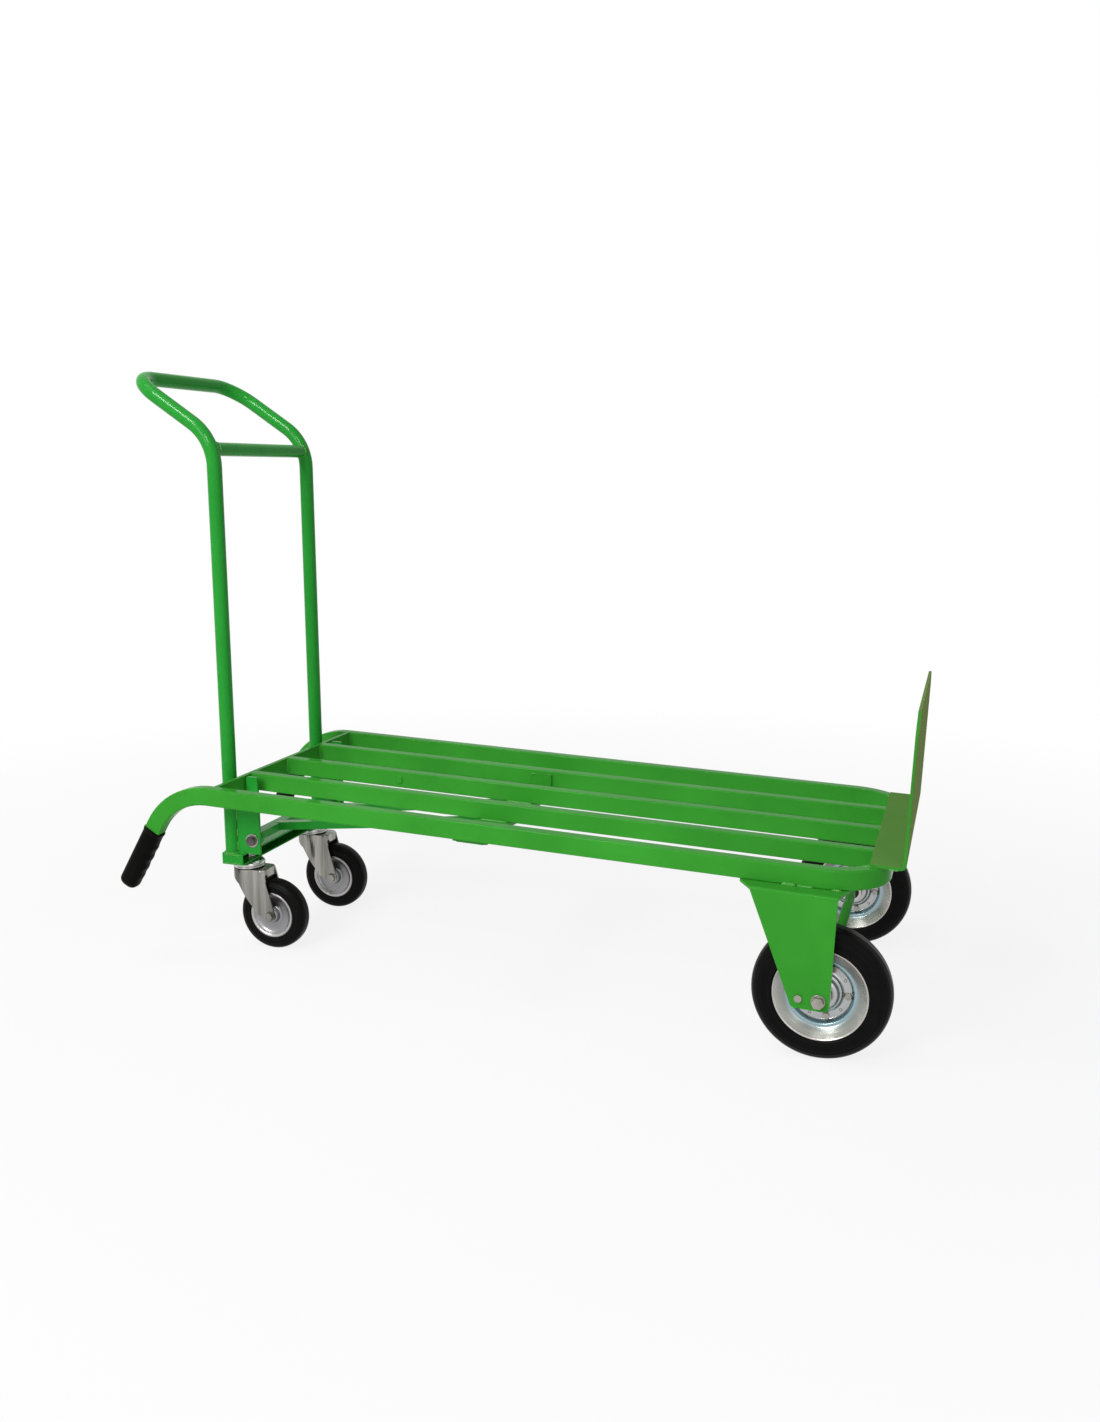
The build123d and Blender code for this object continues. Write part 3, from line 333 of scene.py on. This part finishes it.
# Shapes

SHARP_ANGLE = radians(42)


def add_piece(name, solid, body, material, origin=(0, 0, 0)):
    """Makes a piece of a body from a bmesh, with smooth shading off its sharp edges."""
    bmesh.ops.recalc_face_normals(solid, faces=solid.faces)
    mesh = bpy.data.meshes.new(name)
    solid.to_mesh(mesh)
    solid.free()
    mesh.materials.append(material)
    mesh.shade_smooth()
    mesh.set_sharp_from_angle(angle=SHARP_ANGLE)
    piece = bpy.data.objects.new(name, mesh)
    piece.location = origin
    bpy.context.scene.collection.objects.link(piece)
    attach(piece, body)
    return piece


def rounded(outline, radius, steps=3):
    """Closed outline with its corners turned into short curves, and part of each side left straight."""
    most = 0.45
    result = []
    for index, corner in enumerate(outline):
        here = Vector(corner)
        back = Vector(outline[index - 1]) - here
        ahead = Vector(outline[(index + 1) % len(outline)]) - here
        cut = min(radius, back.length * most, ahead.length * most)
        start = here + back.normalized() * cut
        end = here + ahead.normalized() * cut
        for step in range(steps + 1):
            share = step / steps
            result.append(start * (1 - share) ** 2 + here * (2 * share * (1 - share)) + end * share ** 2)
    return result


def both_sides(outline):
    """Section that is the same on both sides of a wheel's middle."""
    return outline + [(r, -h) for r, h in reversed(outline)]


def skin(solid, rings, closed):
    """Joins rings of points by faces, and the last ring to the first where closed."""
    made = [[solid.verts.new(point) for point in ring] for ring in rings]
    count = len(rings[0])
    for index in range(len(made) if closed else len(made) - 1):
        ring = made[index]
        after = made[(index + 1) % len(made)]
        for place in range(count):
            ahead = (place + 1) % count
            solid.faces.new((ring[place], ring[ahead], after[ahead], after[place]))
    return made


def turn(solid, outline, axis, segments, centre=(0, 0, 0)):
    """Adds a solid turned from a closed outline of radius and height, in millimetres."""
    rings = []
    for step in range(segments):
        angle = tau * step / segments
        c, s = cos(angle), sin(angle)
        rings.append([Vector((r * c, h, r * s) if axis == "Y" else (r * c, r * s, h)) * MM + Vector(centre)
                      for r, h in outline])
    skin(solid, rings, True)


def turned_piece(node, outline, axis, centre, body, material, segments=112):
    """Turned piece that stands for a node; its origin is on its axis, so that its marks run round it."""
    solid = bmesh.new()
    turn(solid, outline, axis, segments)
    piece = add_piece(f"{node}_turned", solid, body, material, centre)
    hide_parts(node)


# Softened edges of plates and fittings
PLATE_EDGE = 0.8 * MM
BEAM_EDGE = 1.4 * MM
METAL_EDGE = 0.5 * MM
EDGE_ANGLE = radians(32)
JOIN_DISTANCE = 0.01 * MM
PLATES = ["end_cross_bar", "mid_cross_member", "slat_gusset_near", "slat_gusset_far", "hinge_lugs",
          "wheel_bracket_near", "wheel_bracket_far", "toe_plate", "ear_plate_near", "ear_plate_far",
          "caster_beam", "stay_frame"]
FITTINGS = ["caster_fork_near", "caster_fork_far", "stud_nuts", "stay_bolts", "stay_washers", "axle_nuts",
            "axle_washers", "rim_bolts_near", "rim_bolts_far", "bracket_rivets"]


def soften_edges(piece, width):
    """Rounds a solid's sharp edges a little, so that they catch light."""
    join = piece.modifiers.new("join", "WELD")
    join.merge_threshold = JOIN_DISTANCE
    bevel = piece.modifiers.new("edges", "BEVEL")
    bevel.width = width
    bevel.segments = 2
    bevel.limit_method = "ANGLE"
    bevel.angle_limit = EDGE_ANGLE
    bevel.harden_normals = True


for name in PLATES:
    soften_edges(nodes[name], BEAM_EDGE if name == "caster_beam" else PLATE_EDGE)
for name in FITTINGS:
    soften_edges(nodes[name], METAL_EDGE)

# Wheels and casters: sections as radius and distance from the wheel's middle, in millimetres
ROAD_TYRE = both_sides([(63.7, 18.5), (68.7, 20.9), (68.8, 23.7), (70.2, 24.8), (73.0, 25.0), (74.6, 24.1),
                        (76.2, 24.3), (83.0, 24.8), (84.0, 25.0), (85.2, 24.3), (88.4, 23.3), (89.3, 23.5),
                        (90.4, 22.5), (94.4, 19.8), (97.6, 15.4), (99.3, 10.4), (99.5, 9.6), (98.7, 9.0),
                        (98.8, 8.2), (99.8, 7.6), (100.0, 4.0)])
ROAD_RIM_SECTION = [(16.1, 17.2), (20.5, 17.2), (23.6, 15.6), (25.2, 12.4), (26.4, 9.6), (29.2, 8.8),
                    (30.4, 5.4), (33.0, 3.4), (42.6, 3.0), (44.4, 4.6), (45.6, 9.0), (47.0, 11.4),
                    (48.8, 11.8), (50.6, 11.4), (52.6, 12.2), (56.0, 14.8), (60.0, 18.0), (63.6, 21.2),
                    (65.6, 23.2), (66.8, 24.0), (68.0, 23.6), (68.5, 22.4), (68.3, 21.2), (66.2, 21.0),
                    (63.0, 18.4), (59.4, 15.4), (55.4, 12.2), (52.4, 9.8), (50.4, 9.2), (48.4, 9.4),
                    (46.9, 7.6), (45.6, 3.4), (44.0, 0.6), (43.0, 0.1), (31.0, 0.1), (28.6, 3.2),
                    (24.4, 10.0), (22.4, 14.2), (16.1, 14.4)]
CASTER_TYRE = both_sides([(41.1, 15.0), (42.4, 15.7), (44.6, 16.0), (46.2, 15.4), (47.4, 15.6),
                          (51.2, 15.8), (52.2, 15.9), (53.4, 15.2), (56.6, 14.2), (59.6, 12.0),
                          (61.7, 8.6), (62.5, 4.0)])
CASTER_RIM_SECTION = both_sides([(5.1, 18.6), (9.4, 18.6), (12.4, 18.0), (13.4, 15.6), (14.4, 9.2),
                                 (17.0, 8.2), (26.0, 8.6), (31.0, 9.6), (34.0, 11.8), (35.8, 14.2),
                                 (38.0, 15.3), (40.0, 15.1), (40.9, 14.4)])
CASTER_HEAD = [(6.2, 144.6), (24.4, 144.6), (26.6, 145.2), (27.5, 146.4), (27.6, 147.6), (26.5, 148.5),
               (26.5, 149.2), (27.8, 150.0), (28.0, 151.8), (26.9, 154.8), (24.4, 157.4), (20.6, 159.2),
               (17.4, 159.9), (6.2, 159.9)]
# Black cup that paints the shade inside an opening of the rim's web
HOLE_SHADE_CUP = [(0.05, -0.25), (1.5, -0.2), (1.9, 0.15), (2.2, 0.1), (2.3, -0.6), (0.05, -0.7)]
TYRE_ROUNDING = 0.9
RIM_ROUNDING = 1.0
CASTER_TYRE_ROUNDING = 0.8
CASTER_RIM_ROUNDING = 0.9
CASTER_HEAD_ROUNDING = 0.8
ROAD_TYRE_SEGMENTS = 144
CASTER_SEGMENTS = 96
HOLE_SEGMENTS = 20

# Places of the wheels' fittings, in metres
RIM_BOLTS = 5
RIM_BOLT_CIRCLE = 0.038
RIM_BOLT_START = radians(-6)
RIM_WEB_FACE = 0.0033
CASTER_X = -1.012
CASTER_Y = 0.113
CASTER_TRAIL = 0.049
CASTER_R = 0.0625


def road_wheel(side, sign):
    """Tyre, both rims, and black cups in the small openings between the rims' bolts, which paint the shade
    inside them.
    """
    body = f"road_wheel_{side}"
    centre = Vector((AXLE_X, sign * WHEEL_Y, WHEEL_R))
    turned_piece(f"wheel_tyre_{side}", rounded(ROAD_TYRE, TYRE_ROUNDING), "Y", centre, body,
                 TYRE, ROAD_TYRE_SEGMENTS)
    section = rounded(ROAD_RIM_SECTION, RIM_ROUNDING)
    outward = [(r, sign * h) for r, h in section]
    inward = [(r, -sign * h) for r, h in section]
    turned_piece(f"rim_outer_{side}", outward, "Y", centre, body, ROAD_RIM)
    turned_piece(f"rim_inner_{side}", inward, "Y", centre, body, ROAD_RIM)
    # Painted shade: black cups fill the web's openings where only shade would show.
    hole_shade_cups = bmesh.new()
    for index in range(RIM_BOLTS):
        angle = RIM_BOLT_START + tau * (index + 0.5) / RIM_BOLTS
        for face in (-1, 1):
            place = Vector((RIM_BOLT_CIRCLE * cos(angle), face * RIM_WEB_FACE,
                            RIM_BOLT_CIRCLE * sin(angle)))
            turn(hole_shade_cups, [(r, face * h) for r, h in HOLE_SHADE_CUP], "Y", HOLE_SEGMENTS, place)
    add_piece(f"rim_hole_shade_{side}", hole_shade_cups, body, PLASTIC, centre)


def caster(side, sign):
    """Tyre, rim and swivel head of a caster."""
    swivel = LEVEL @ Vector((CASTER_X, sign * CASTER_Y, 0))
    centre = swivel + Vector((CASTER_TRAIL, 0, CASTER_R))
    wheel_body = f"caster_wheel_{side}"
    turned_piece(f"caster_tyre_{side}", rounded(CASTER_TYRE, CASTER_TYRE_ROUNDING), "Y", centre, wheel_body,
                 TYRE)
    turned_piece(f"caster_rim_{side}", rounded(CASTER_RIM_SECTION, CASTER_RIM_ROUNDING), "Y", centre,
                 wheel_body, CASTER_RIM, CASTER_SEGMENTS)
    turned_piece(f"caster_head_{side}", rounded(CASTER_HEAD, CASTER_HEAD_ROUNDING), "Z", swivel,
                 "push_unit", STEEL, CASTER_SEGMENTS)


for side, sign in SIDES.items():
    road_wheel(side, sign)
    caster(side, sign)

# Grips, measured in metres along the bent handle's end
GRIP_BEND_X = -1.008
GRIP_BEND_R = 0.113
GRIP_ANGLE = radians(61.6)
GRIP_START = 0.012
GRIP_LENGTH = 0.121
GRIP_HALF_WIDTH = 0.0145
GRIP_HALF_DEPTH = 0.01675
GRIP_TIP = 0.013
GRIP_COLLAR = 0.006
GRIP_COLLAR_RISE = 0.0010
GRIP_LIP = 0.0015
GRIP_LIP_DROP = 0.0012
GRIP_WAVE = 0.0013
GRIP_WAVE_PITCH = 0.021
GRIP_WAVE_CREST = 0.030
GRIP_HAND_START = 0.016
GRIP_HAND_END = 0.022
GRIP_HAND_FADE = 0.012
GRIP_STEPS = 90
GRIP_AROUND = 56
GRIP_SQUARENESS = 0.74
SOCKET_HALF_WIDTH = 0.0108
SOCKET_HALF_DEPTH = 0.0148
SOCKET_DEPTH = 0.008
SOCKET_SQUARENESS = 0.35


def grip_ring(sign, along, half_width, half_depth, wave, squareness):
    """Ring of points round the bent handle; the wave swells its inner side."""
    c, s = cos(GRIP_ANGLE), sin(GRIP_ANGLE)
    x = GRIP_BEND_X - GRIP_BEND_R * s - along * c
    z = BAR_MIDDLE - GRIP_BEND_R * (1 - c) - along * s
    ring = []
    for step in range(GRIP_AROUND):
        angle = tau * step / GRIP_AROUND
        across = abs(cos(angle)) ** squareness * (1 if cos(angle) > 0 else -1)
        deep = abs(sin(angle)) ** squareness * (1 if sin(angle) > 0 else -1)
        depth = deep * half_depth + max(deep, 0) * wave
        ring.append(DECK @ Vector((x + depth * s, sign * RAIL_Y + across * half_width, z - depth * c)))
    return ring


def grip(side, sign):
    """Rubber grip: socket, collar, swelling hand part and a rounded tip."""
    rings = []
    for inside in (SOCKET_DEPTH, 0):
        rings.append(grip_ring(sign, GRIP_START + inside, SOCKET_HALF_WIDTH, SOCKET_HALF_DEPTH, 0,
                               SOCKET_SQUARENESS))
    for step in range(GRIP_STEPS + 1):
        run = GRIP_LENGTH * step / GRIP_STEPS
        lip = min(run / GRIP_LIP, 1.0)
        rise = GRIP_COLLAR_RISE * (sqrt(1 - (run / GRIP_COLLAR) ** 4) if run < GRIP_COLLAR else 0)
        rise -= GRIP_LIP_DROP * (1 - sqrt(1 - (1 - lip) ** 2))
        tip = max(0.0, (run - GRIP_LENGTH + GRIP_TIP) / GRIP_TIP)
        shrink = GRIP_TIP * (1 - sqrt(max(0.0, 1 - tip ** 2)))
        held = max(0.0, min((run - GRIP_HAND_START) / GRIP_HAND_FADE,
                            (GRIP_LENGTH - GRIP_HAND_END - run) / GRIP_HAND_FADE, 1.0))
        wave = GRIP_WAVE * held * (0.5 + 0.5 * cos(tau * (run - GRIP_WAVE_CREST) / GRIP_WAVE_PITCH))
        rings.append(grip_ring(sign, GRIP_START + run, GRIP_HALF_WIDTH + rise - shrink,
                               GRIP_HALF_DEPTH + rise - shrink, wave, GRIP_SQUARENESS))
    solid = bmesh.new()
    made = skin(solid, rings, False)
    solid.faces.new(made[0])
    solid.faces.new(made[-1])
    piece = add_piece(f"side_grip_{side}_moulded", solid, "deck", GRIP)
    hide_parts(f"side_grip_{side}")


for side, sign in SIDES.items():
    grip(side, sign)

# Welds: uneven beads along the joins, with lengths in metres
WELD_STEP = 0.0012
WELD_RIPPLE = 0.0034
WELD_RIPPLE_DEPTH = 0.16
WELD_UNEVEN = 0.07
WELD_END_SHARE = 0.35
WELD_TAPER_STEPS = 3
WELD_SIDES = 10
draw = Random(4)


def around(centre, side, other, radius, count):
    """Points on a circle across two directions."""
    return [centre + (side * cos(tau * k / count) + other * sin(tau * k / count)) * radius
            for k in range(count)]


def weld(solid, path, radius, closed=False):
    """Bead along a path, with ripples, an uneven width and tapered ends."""
    places = []
    for start, end in zip(path, path[1:] + path[:1] if closed else path[1:]):
        steps = max(2, round((end - start).length / WELD_STEP))
        places += [start.lerp(end, step / steps) for step in range(steps)]
    if not closed:
        places.append(path[-1])
    rings = []
    count = len(places)
    for index, place in enumerate(places):
        before = places[index - 1] if closed or index else place
        after = places[(index + 1) % count] if closed or index < count - 1 else place
        along = (after - before).normalized()
        side = along.orthogonal().normalized()
        from_end = min(index, count - 1 - index) / WELD_TAPER_STEPS
        taper = 1.0 if closed else min(1.0, WELD_END_SHARE + (1 - WELD_END_SHARE) * from_end)
        ripple = 1.0 + WELD_RIPPLE_DEPTH * sin(tau * index * WELD_STEP / WELD_RIPPLE)
        ripple += draw.uniform(-WELD_UNEVEN, WELD_UNEVEN)
        rings.append(around(place, side, along.cross(side), radius * taper * ripple, WELD_SIDES))
    made = skin(solid, rings, closed)
    if not closed:
        solid.faces.new(made[0])
        solid.faces.new(made[-1])


def circle(centre, normal, radius, steps=40):
    """Closed path round a tube."""
    side = normal.orthogonal().normalized()
    return around(centre, side, normal.cross(side).normalized(), radius, steps)


def deck_line(start, end):
    """Path between two places on the deck, measured before the slope."""
    return [DECK @ Vector(start), DECK @ Vector(end)]


def level_line(start, end):
    """Path between two places on the push unit."""
    return [LEVEL @ Vector(start), LEVEL @ Vector(end)]


BEAD = 0.0016
FINE_BEAD = 0.0011
FOOT_BEAD = 0.0020
BAR_WELD_INSET = 0.003
BAR_FOOT = BAR_BOTTOM + BAR_WELD_INSET
BAR_HEAD = DECK_TOP - BAR_WELD_INSET
SLAT_WELD_HALF = MEMBER_HALF - 0.006
RAIL_WELD_HALF = MEMBER_HALF - 0.004
BRACKET_BEADS = ((-0.066, -0.046, 0.0036), (-0.044, -0.022, 0.0018), (0.004, 0.018, 0.0020))
BRACKET_BEAD_RISE = 0.001
BRACKET_INNER_BEAD = (-0.060, 0.010)
TOE_BEADS = ((0.040, 0.054), (0.076, 0.090))
TOE_BEAD_Y = 0.2145
FOOT_WELD_GAP = 0.0004
NECK_WELD_SINK = 0.0012
EAR_BEADS = ((0.184, 0.199), (0.207, 0.223), (0.238, 0.256))
EAR_FOOT_BEAD = (UPRIGHT_X + TUBE_R + 0.004, BEAM_RIGHT - 0.002)
CAP_BEAD = (BEAM_LEFT + 0.004, BEAM_RIGHT - 0.004)
CAP_WELD_INSET = 0.0025
GUSSET_BEAD = 0.008
GUSSET_WELD_DROP = 0.001


def slat_welds(solid):
    """Beads at the ends of the slats and where they cross the member below them."""
    for y in SLATS_Y:
        for face in (-BAR_HALF, BAR_HALF):
            for x in (END_BAR_INNER_X, SLAT_END_X):
                weld(solid, deck_line((x, y + face, BAR_FOOT), (x, y + face, BAR_HEAD)), BEAD)
            weld(solid, deck_line((MEMBER_X - SLAT_WELD_HALF, y + face, BAR_BOTTOM),
                                  (MEMBER_X + SLAT_WELD_HALF, y + face, BAR_BOTTOM)), BEAD)


def rail_welds(solid, sign):
    """Beads of a side rail: at the end bar, the member, the wheel bracket and the toe plate."""
    inner_face = sign * (RAIL_Y - BAR_HALF)
    outer_face = sign * (RAIL_Y + BAR_HALF)
    for x in (END_BAR_INNER_X, END_BAR_OUTER_X):
        weld(solid, deck_line((x, inner_face, BAR_FOOT), (x, inner_face, BAR_HEAD)), BEAD)
    for z in (BAR_BOTTOM, BAR_BOTTOM - MEMBER_THICK):
        weld(solid, deck_line((MEMBER_X - RAIL_WELD_HALF, inner_face, z),
                              (MEMBER_X + RAIL_WELD_HALF, inner_face, z)), BEAD)
    bead_y = outer_face + sign * BRACKET_BEAD_RISE
    bead_z = BAR_BOTTOM + BRACKET_BEAD_RISE
    for start, end, size in BRACKET_BEADS:
        weld(solid, deck_line((start, bead_y, bead_z), (end, bead_y, bead_z)), size)
    start, end = BRACKET_INNER_BEAD
    weld(solid, deck_line((start, inner_face, BAR_BOTTOM), (end, inner_face, BAR_BOTTOM)), BEAD)
    for start, end in TOE_BEADS:
        weld(solid, deck_line((start, sign * TOE_BEAD_Y, DECK_TOP), (end, sign * TOE_BEAD_Y, DECK_TOP)),
             FINE_BEAD)


def upright_welds(solid, sign):
    """Beads of an upright: round its foot and the neck bar, along the ear plate and at the beam's end."""
    foot = LEVEL @ Vector((UPRIGHT_X, sign * UPRIGHT_Y, BEAM_TOP))
    weld(solid, circle(foot, Vector((0, 0, 1)), TUBE_R + FOOT_WELD_GAP), FOOT_BEAD, True)
    neck = LEVEL @ Vector((NECK_X, sign * (UPRIGHT_Y - TUBE_R + NECK_WELD_SINK), NECK_Z))
    weld(solid, circle(neck, Vector((0, 1, 0)), NECK_R), BEAD, True)
    for face in (-EAR_HALF_THICK, EAR_HALF_THICK):
        x = UPRIGHT_X + TUBE_R
        y = sign * UPRIGHT_Y + face
        for low, high in EAR_BEADS:
            weld(solid, level_line((x, y, low), (x, y, high)), BEAD)
        start, end = EAR_FOOT_BEAD
        weld(solid, level_line((start, y, BEAM_TOP), (end, y, BEAM_TOP)), FINE_BEAD)
    start, end = CAP_BEAD
    for z in (BEAM_TOP - CAP_WELD_INSET, BEAM_BOTTOM + CAP_WELD_INSET):
        weld(solid, level_line((start, sign * BEAM_HALF, z), (end, sign * BEAM_HALF, z)), FINE_BEAD)


def gusset_welds(solid, name):
    """Two short beads along the top of a gusset's near side."""
    low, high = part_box(name)
    z = high.z - GUSSET_WELD_DROP
    for start in (low.x, high.x - GUSSET_BEAD):
        weld(solid, [Vector((start, low.y, z)), Vector((start + GUSSET_BEAD, low.y, z))], BEAD)


deck_welds = bmesh.new()
unit_welds = bmesh.new()
slat_welds(deck_welds)
for side, sign in SIDES.items():
    rail_welds(deck_welds, sign)
    upright_welds(unit_welds, sign)
for side in SIDES:
    gusset_welds(deck_welds, f"slat_gusset_{side}")
add_piece("deck_welds", deck_welds, "deck", WELD_GREEN_PAINTED_GLINT)
add_piece("push_unit_welds", unit_welds, "push_unit", WELD_GREEN_PAINTED_GLINT)

# Floor, in metres
FLOOR_SIZE = 40.0
FLOOR_GREY = (0.82, 0.82, 0.82, 1.0)
FLOOR_ROUGHNESS = 0.9
FLOOR_WHITE = 0.84
SHADOW_REACH = 0.9
FADE_REACH = 2.4
WHITE = (1.0, 1.0, 1.0, 1.0)


def seen_directly(tree):
    """Value that is 1 for rays that see the background itself, directly or in metal and glass."""
    path = add(tree, "ShaderNodeLightPath")
    seen = add(tree, "ShaderNodeMath", operation="MAXIMUM")
    tree.links.new(path.outputs["Is Camera Ray"], seen.inputs[0])
    tree.links.new(path.outputs["Is Glossy Ray"], seen.inputs[1])
    any_seen = add(tree, "ShaderNodeMath", operation="MAXIMUM")
    tree.links.new(seen.outputs[0], any_seen.inputs[0])
    tree.links.new(path.outputs["Is Transmission Ray"], any_seen.inputs[1])
    return any_seen.outputs[0]


def floor_material():
    """White floor with the object's soft shadow, which fades into the white wall further out."""
    material, tree, shader = new_material("white_floor")
    shader.inputs["Base Color"].default_value = FLOOR_GREY
    shader.inputs["Roughness"].default_value = FLOOR_ROUGHNESS
    white = add(tree, "ShaderNodeEmission")
    white.inputs["Strength"].default_value = 1.0
    place = add(tree, "ShaderNodeTexCoord")
    reach = add(tree, "ShaderNodeVectorMath", operation="LENGTH")
    tree.links.new(place.outputs["Object"], reach.inputs[0])
    fade = spread(tree, reach.outputs["Value"], FLOOR_WHITE, 1.0, SHADOW_REACH, FADE_REACH)
    share = add(tree, "ShaderNodeMath", operation="MULTIPLY")
    tree.links.new(fade, share.inputs[0])
    tree.links.new(seen_directly(tree), share.inputs[1])
    mix = add(tree, "ShaderNodeMixShader")
    tree.links.new(share.outputs[0], mix.inputs["Fac"])
    tree.links.new(shader.outputs["BSDF"], mix.inputs[1])
    tree.links.new(white.outputs["Emission"], mix.inputs[2])
    tree.links.new(mix.outputs["Shader"], tree.nodes["Material Output"].inputs["Surface"])
    return material


bpy.ops.mesh.primitive_plane_add(size=FLOOR_SIZE)
floor = bpy.context.object
floor.name = "floor"
floor.data.materials.append(floor_material())

# Light: a dim even room with a white wall, and soft lamps
AMBIENT = 0.30
world = bpy.data.worlds.new("studio")
bpy.context.scene.world = world
world.use_nodes = True
sky = world.node_tree
ambient = sky.nodes["Background"]
ambient.inputs["Color"].default_value = WHITE
ambient.inputs["Strength"].default_value = AMBIENT
white_wall = add(sky, "ShaderNodeBackground")
white_wall.inputs["Color"].default_value = WHITE
wall_mix = add(sky, "ShaderNodeMixShader")
sky.links.new(seen_directly(sky), wall_mix.inputs["Fac"])
sky.links.new(ambient.outputs["Background"], wall_mix.inputs[1])
sky.links.new(white_wall.outputs["Background"], wall_mix.inputs[2])
sky.links.new(wall_mix.outputs["Shader"], sky.nodes["World Output"].inputs["Surface"])

# Lamps: name, place, target, size in metres and power in watts; only painted pieces reflect the streaks
SOFTBOXES = [("key", (-0.9, -3.5, 2.3), (0, 0, 0.4), 1.5, 90),
             ("fill", (2.4, -3.0, 1.4), (0, 0, 0.3), 1.6, 8),
             ("top", (-1.6, -1.4, 4.6), (0, 0, 0.2), 2.2, 68),
             ("gleam", (0.25, -2.1, 3.0), (0.5, 0, 0.1), 0.8, 3)]
STREAKS = [("streak_left", (-0.95, -2.35, 3.03), (0, 0, 0.5), 0.9, 150),
           ("streak_right", (0.9, -2.8, 2.9), (0, 0, 0.5), 0.9, 80)]


def softbox(name, place, target, size, power):
    """Square area lamp that points at a target."""
    lamp = bpy.data.lights.new(name, "AREA")
    lamp.size = size
    lamp.energy = power
    holder = bpy.data.objects.new(name, lamp)
    holder.location = place
    holder.rotation_euler = (Vector(target) - Vector(place)).to_track_quat("-Z", "Y").to_euler()
    bpy.context.scene.collection.objects.link(holder)
    return holder


for values in SOFTBOXES:
    softbox(*values)
painted = bpy.data.collections.new("painted")
for piece in bpy.context.scene.objects:
    if piece.type == "MESH" and piece.data.materials[0] in (GREEN, UNIT_GREEN, WELD_GREEN_PAINTED_GLINT):
        painted.objects.link(piece)
for values in STREAKS:
    streak = softbox(*values)
    streak.visible_diffuse = False
    streak.light_linking.receiver_collection = painted

# Camera at the photograph's viewing angle
CAMERA_PLACE = (0.70735, -1.9710, 0.8289)
CAMERA_YAW = radians(18.57)
CAMERA_PITCH = radians(10.78)
CAMERA_LENS = 31.93
CAMERA_SENSOR = 36.0
camera = bpy.data.cameras.new("camera")
camera.sensor_width = CAMERA_SENSOR
camera.lens = CAMERA_LENS
camera_holder = bpy.data.objects.new("camera", camera)
camera_holder.location = CAMERA_PLACE
camera_holder.rotation_euler = (pi / 2 - CAMERA_PITCH, 0, CAMERA_YAW)
bpy.context.scene.collection.objects.link(camera_holder)
bpy.context.scene.camera = camera_holder
bpy.context.scene.view_settings.view_transform = "Standard"
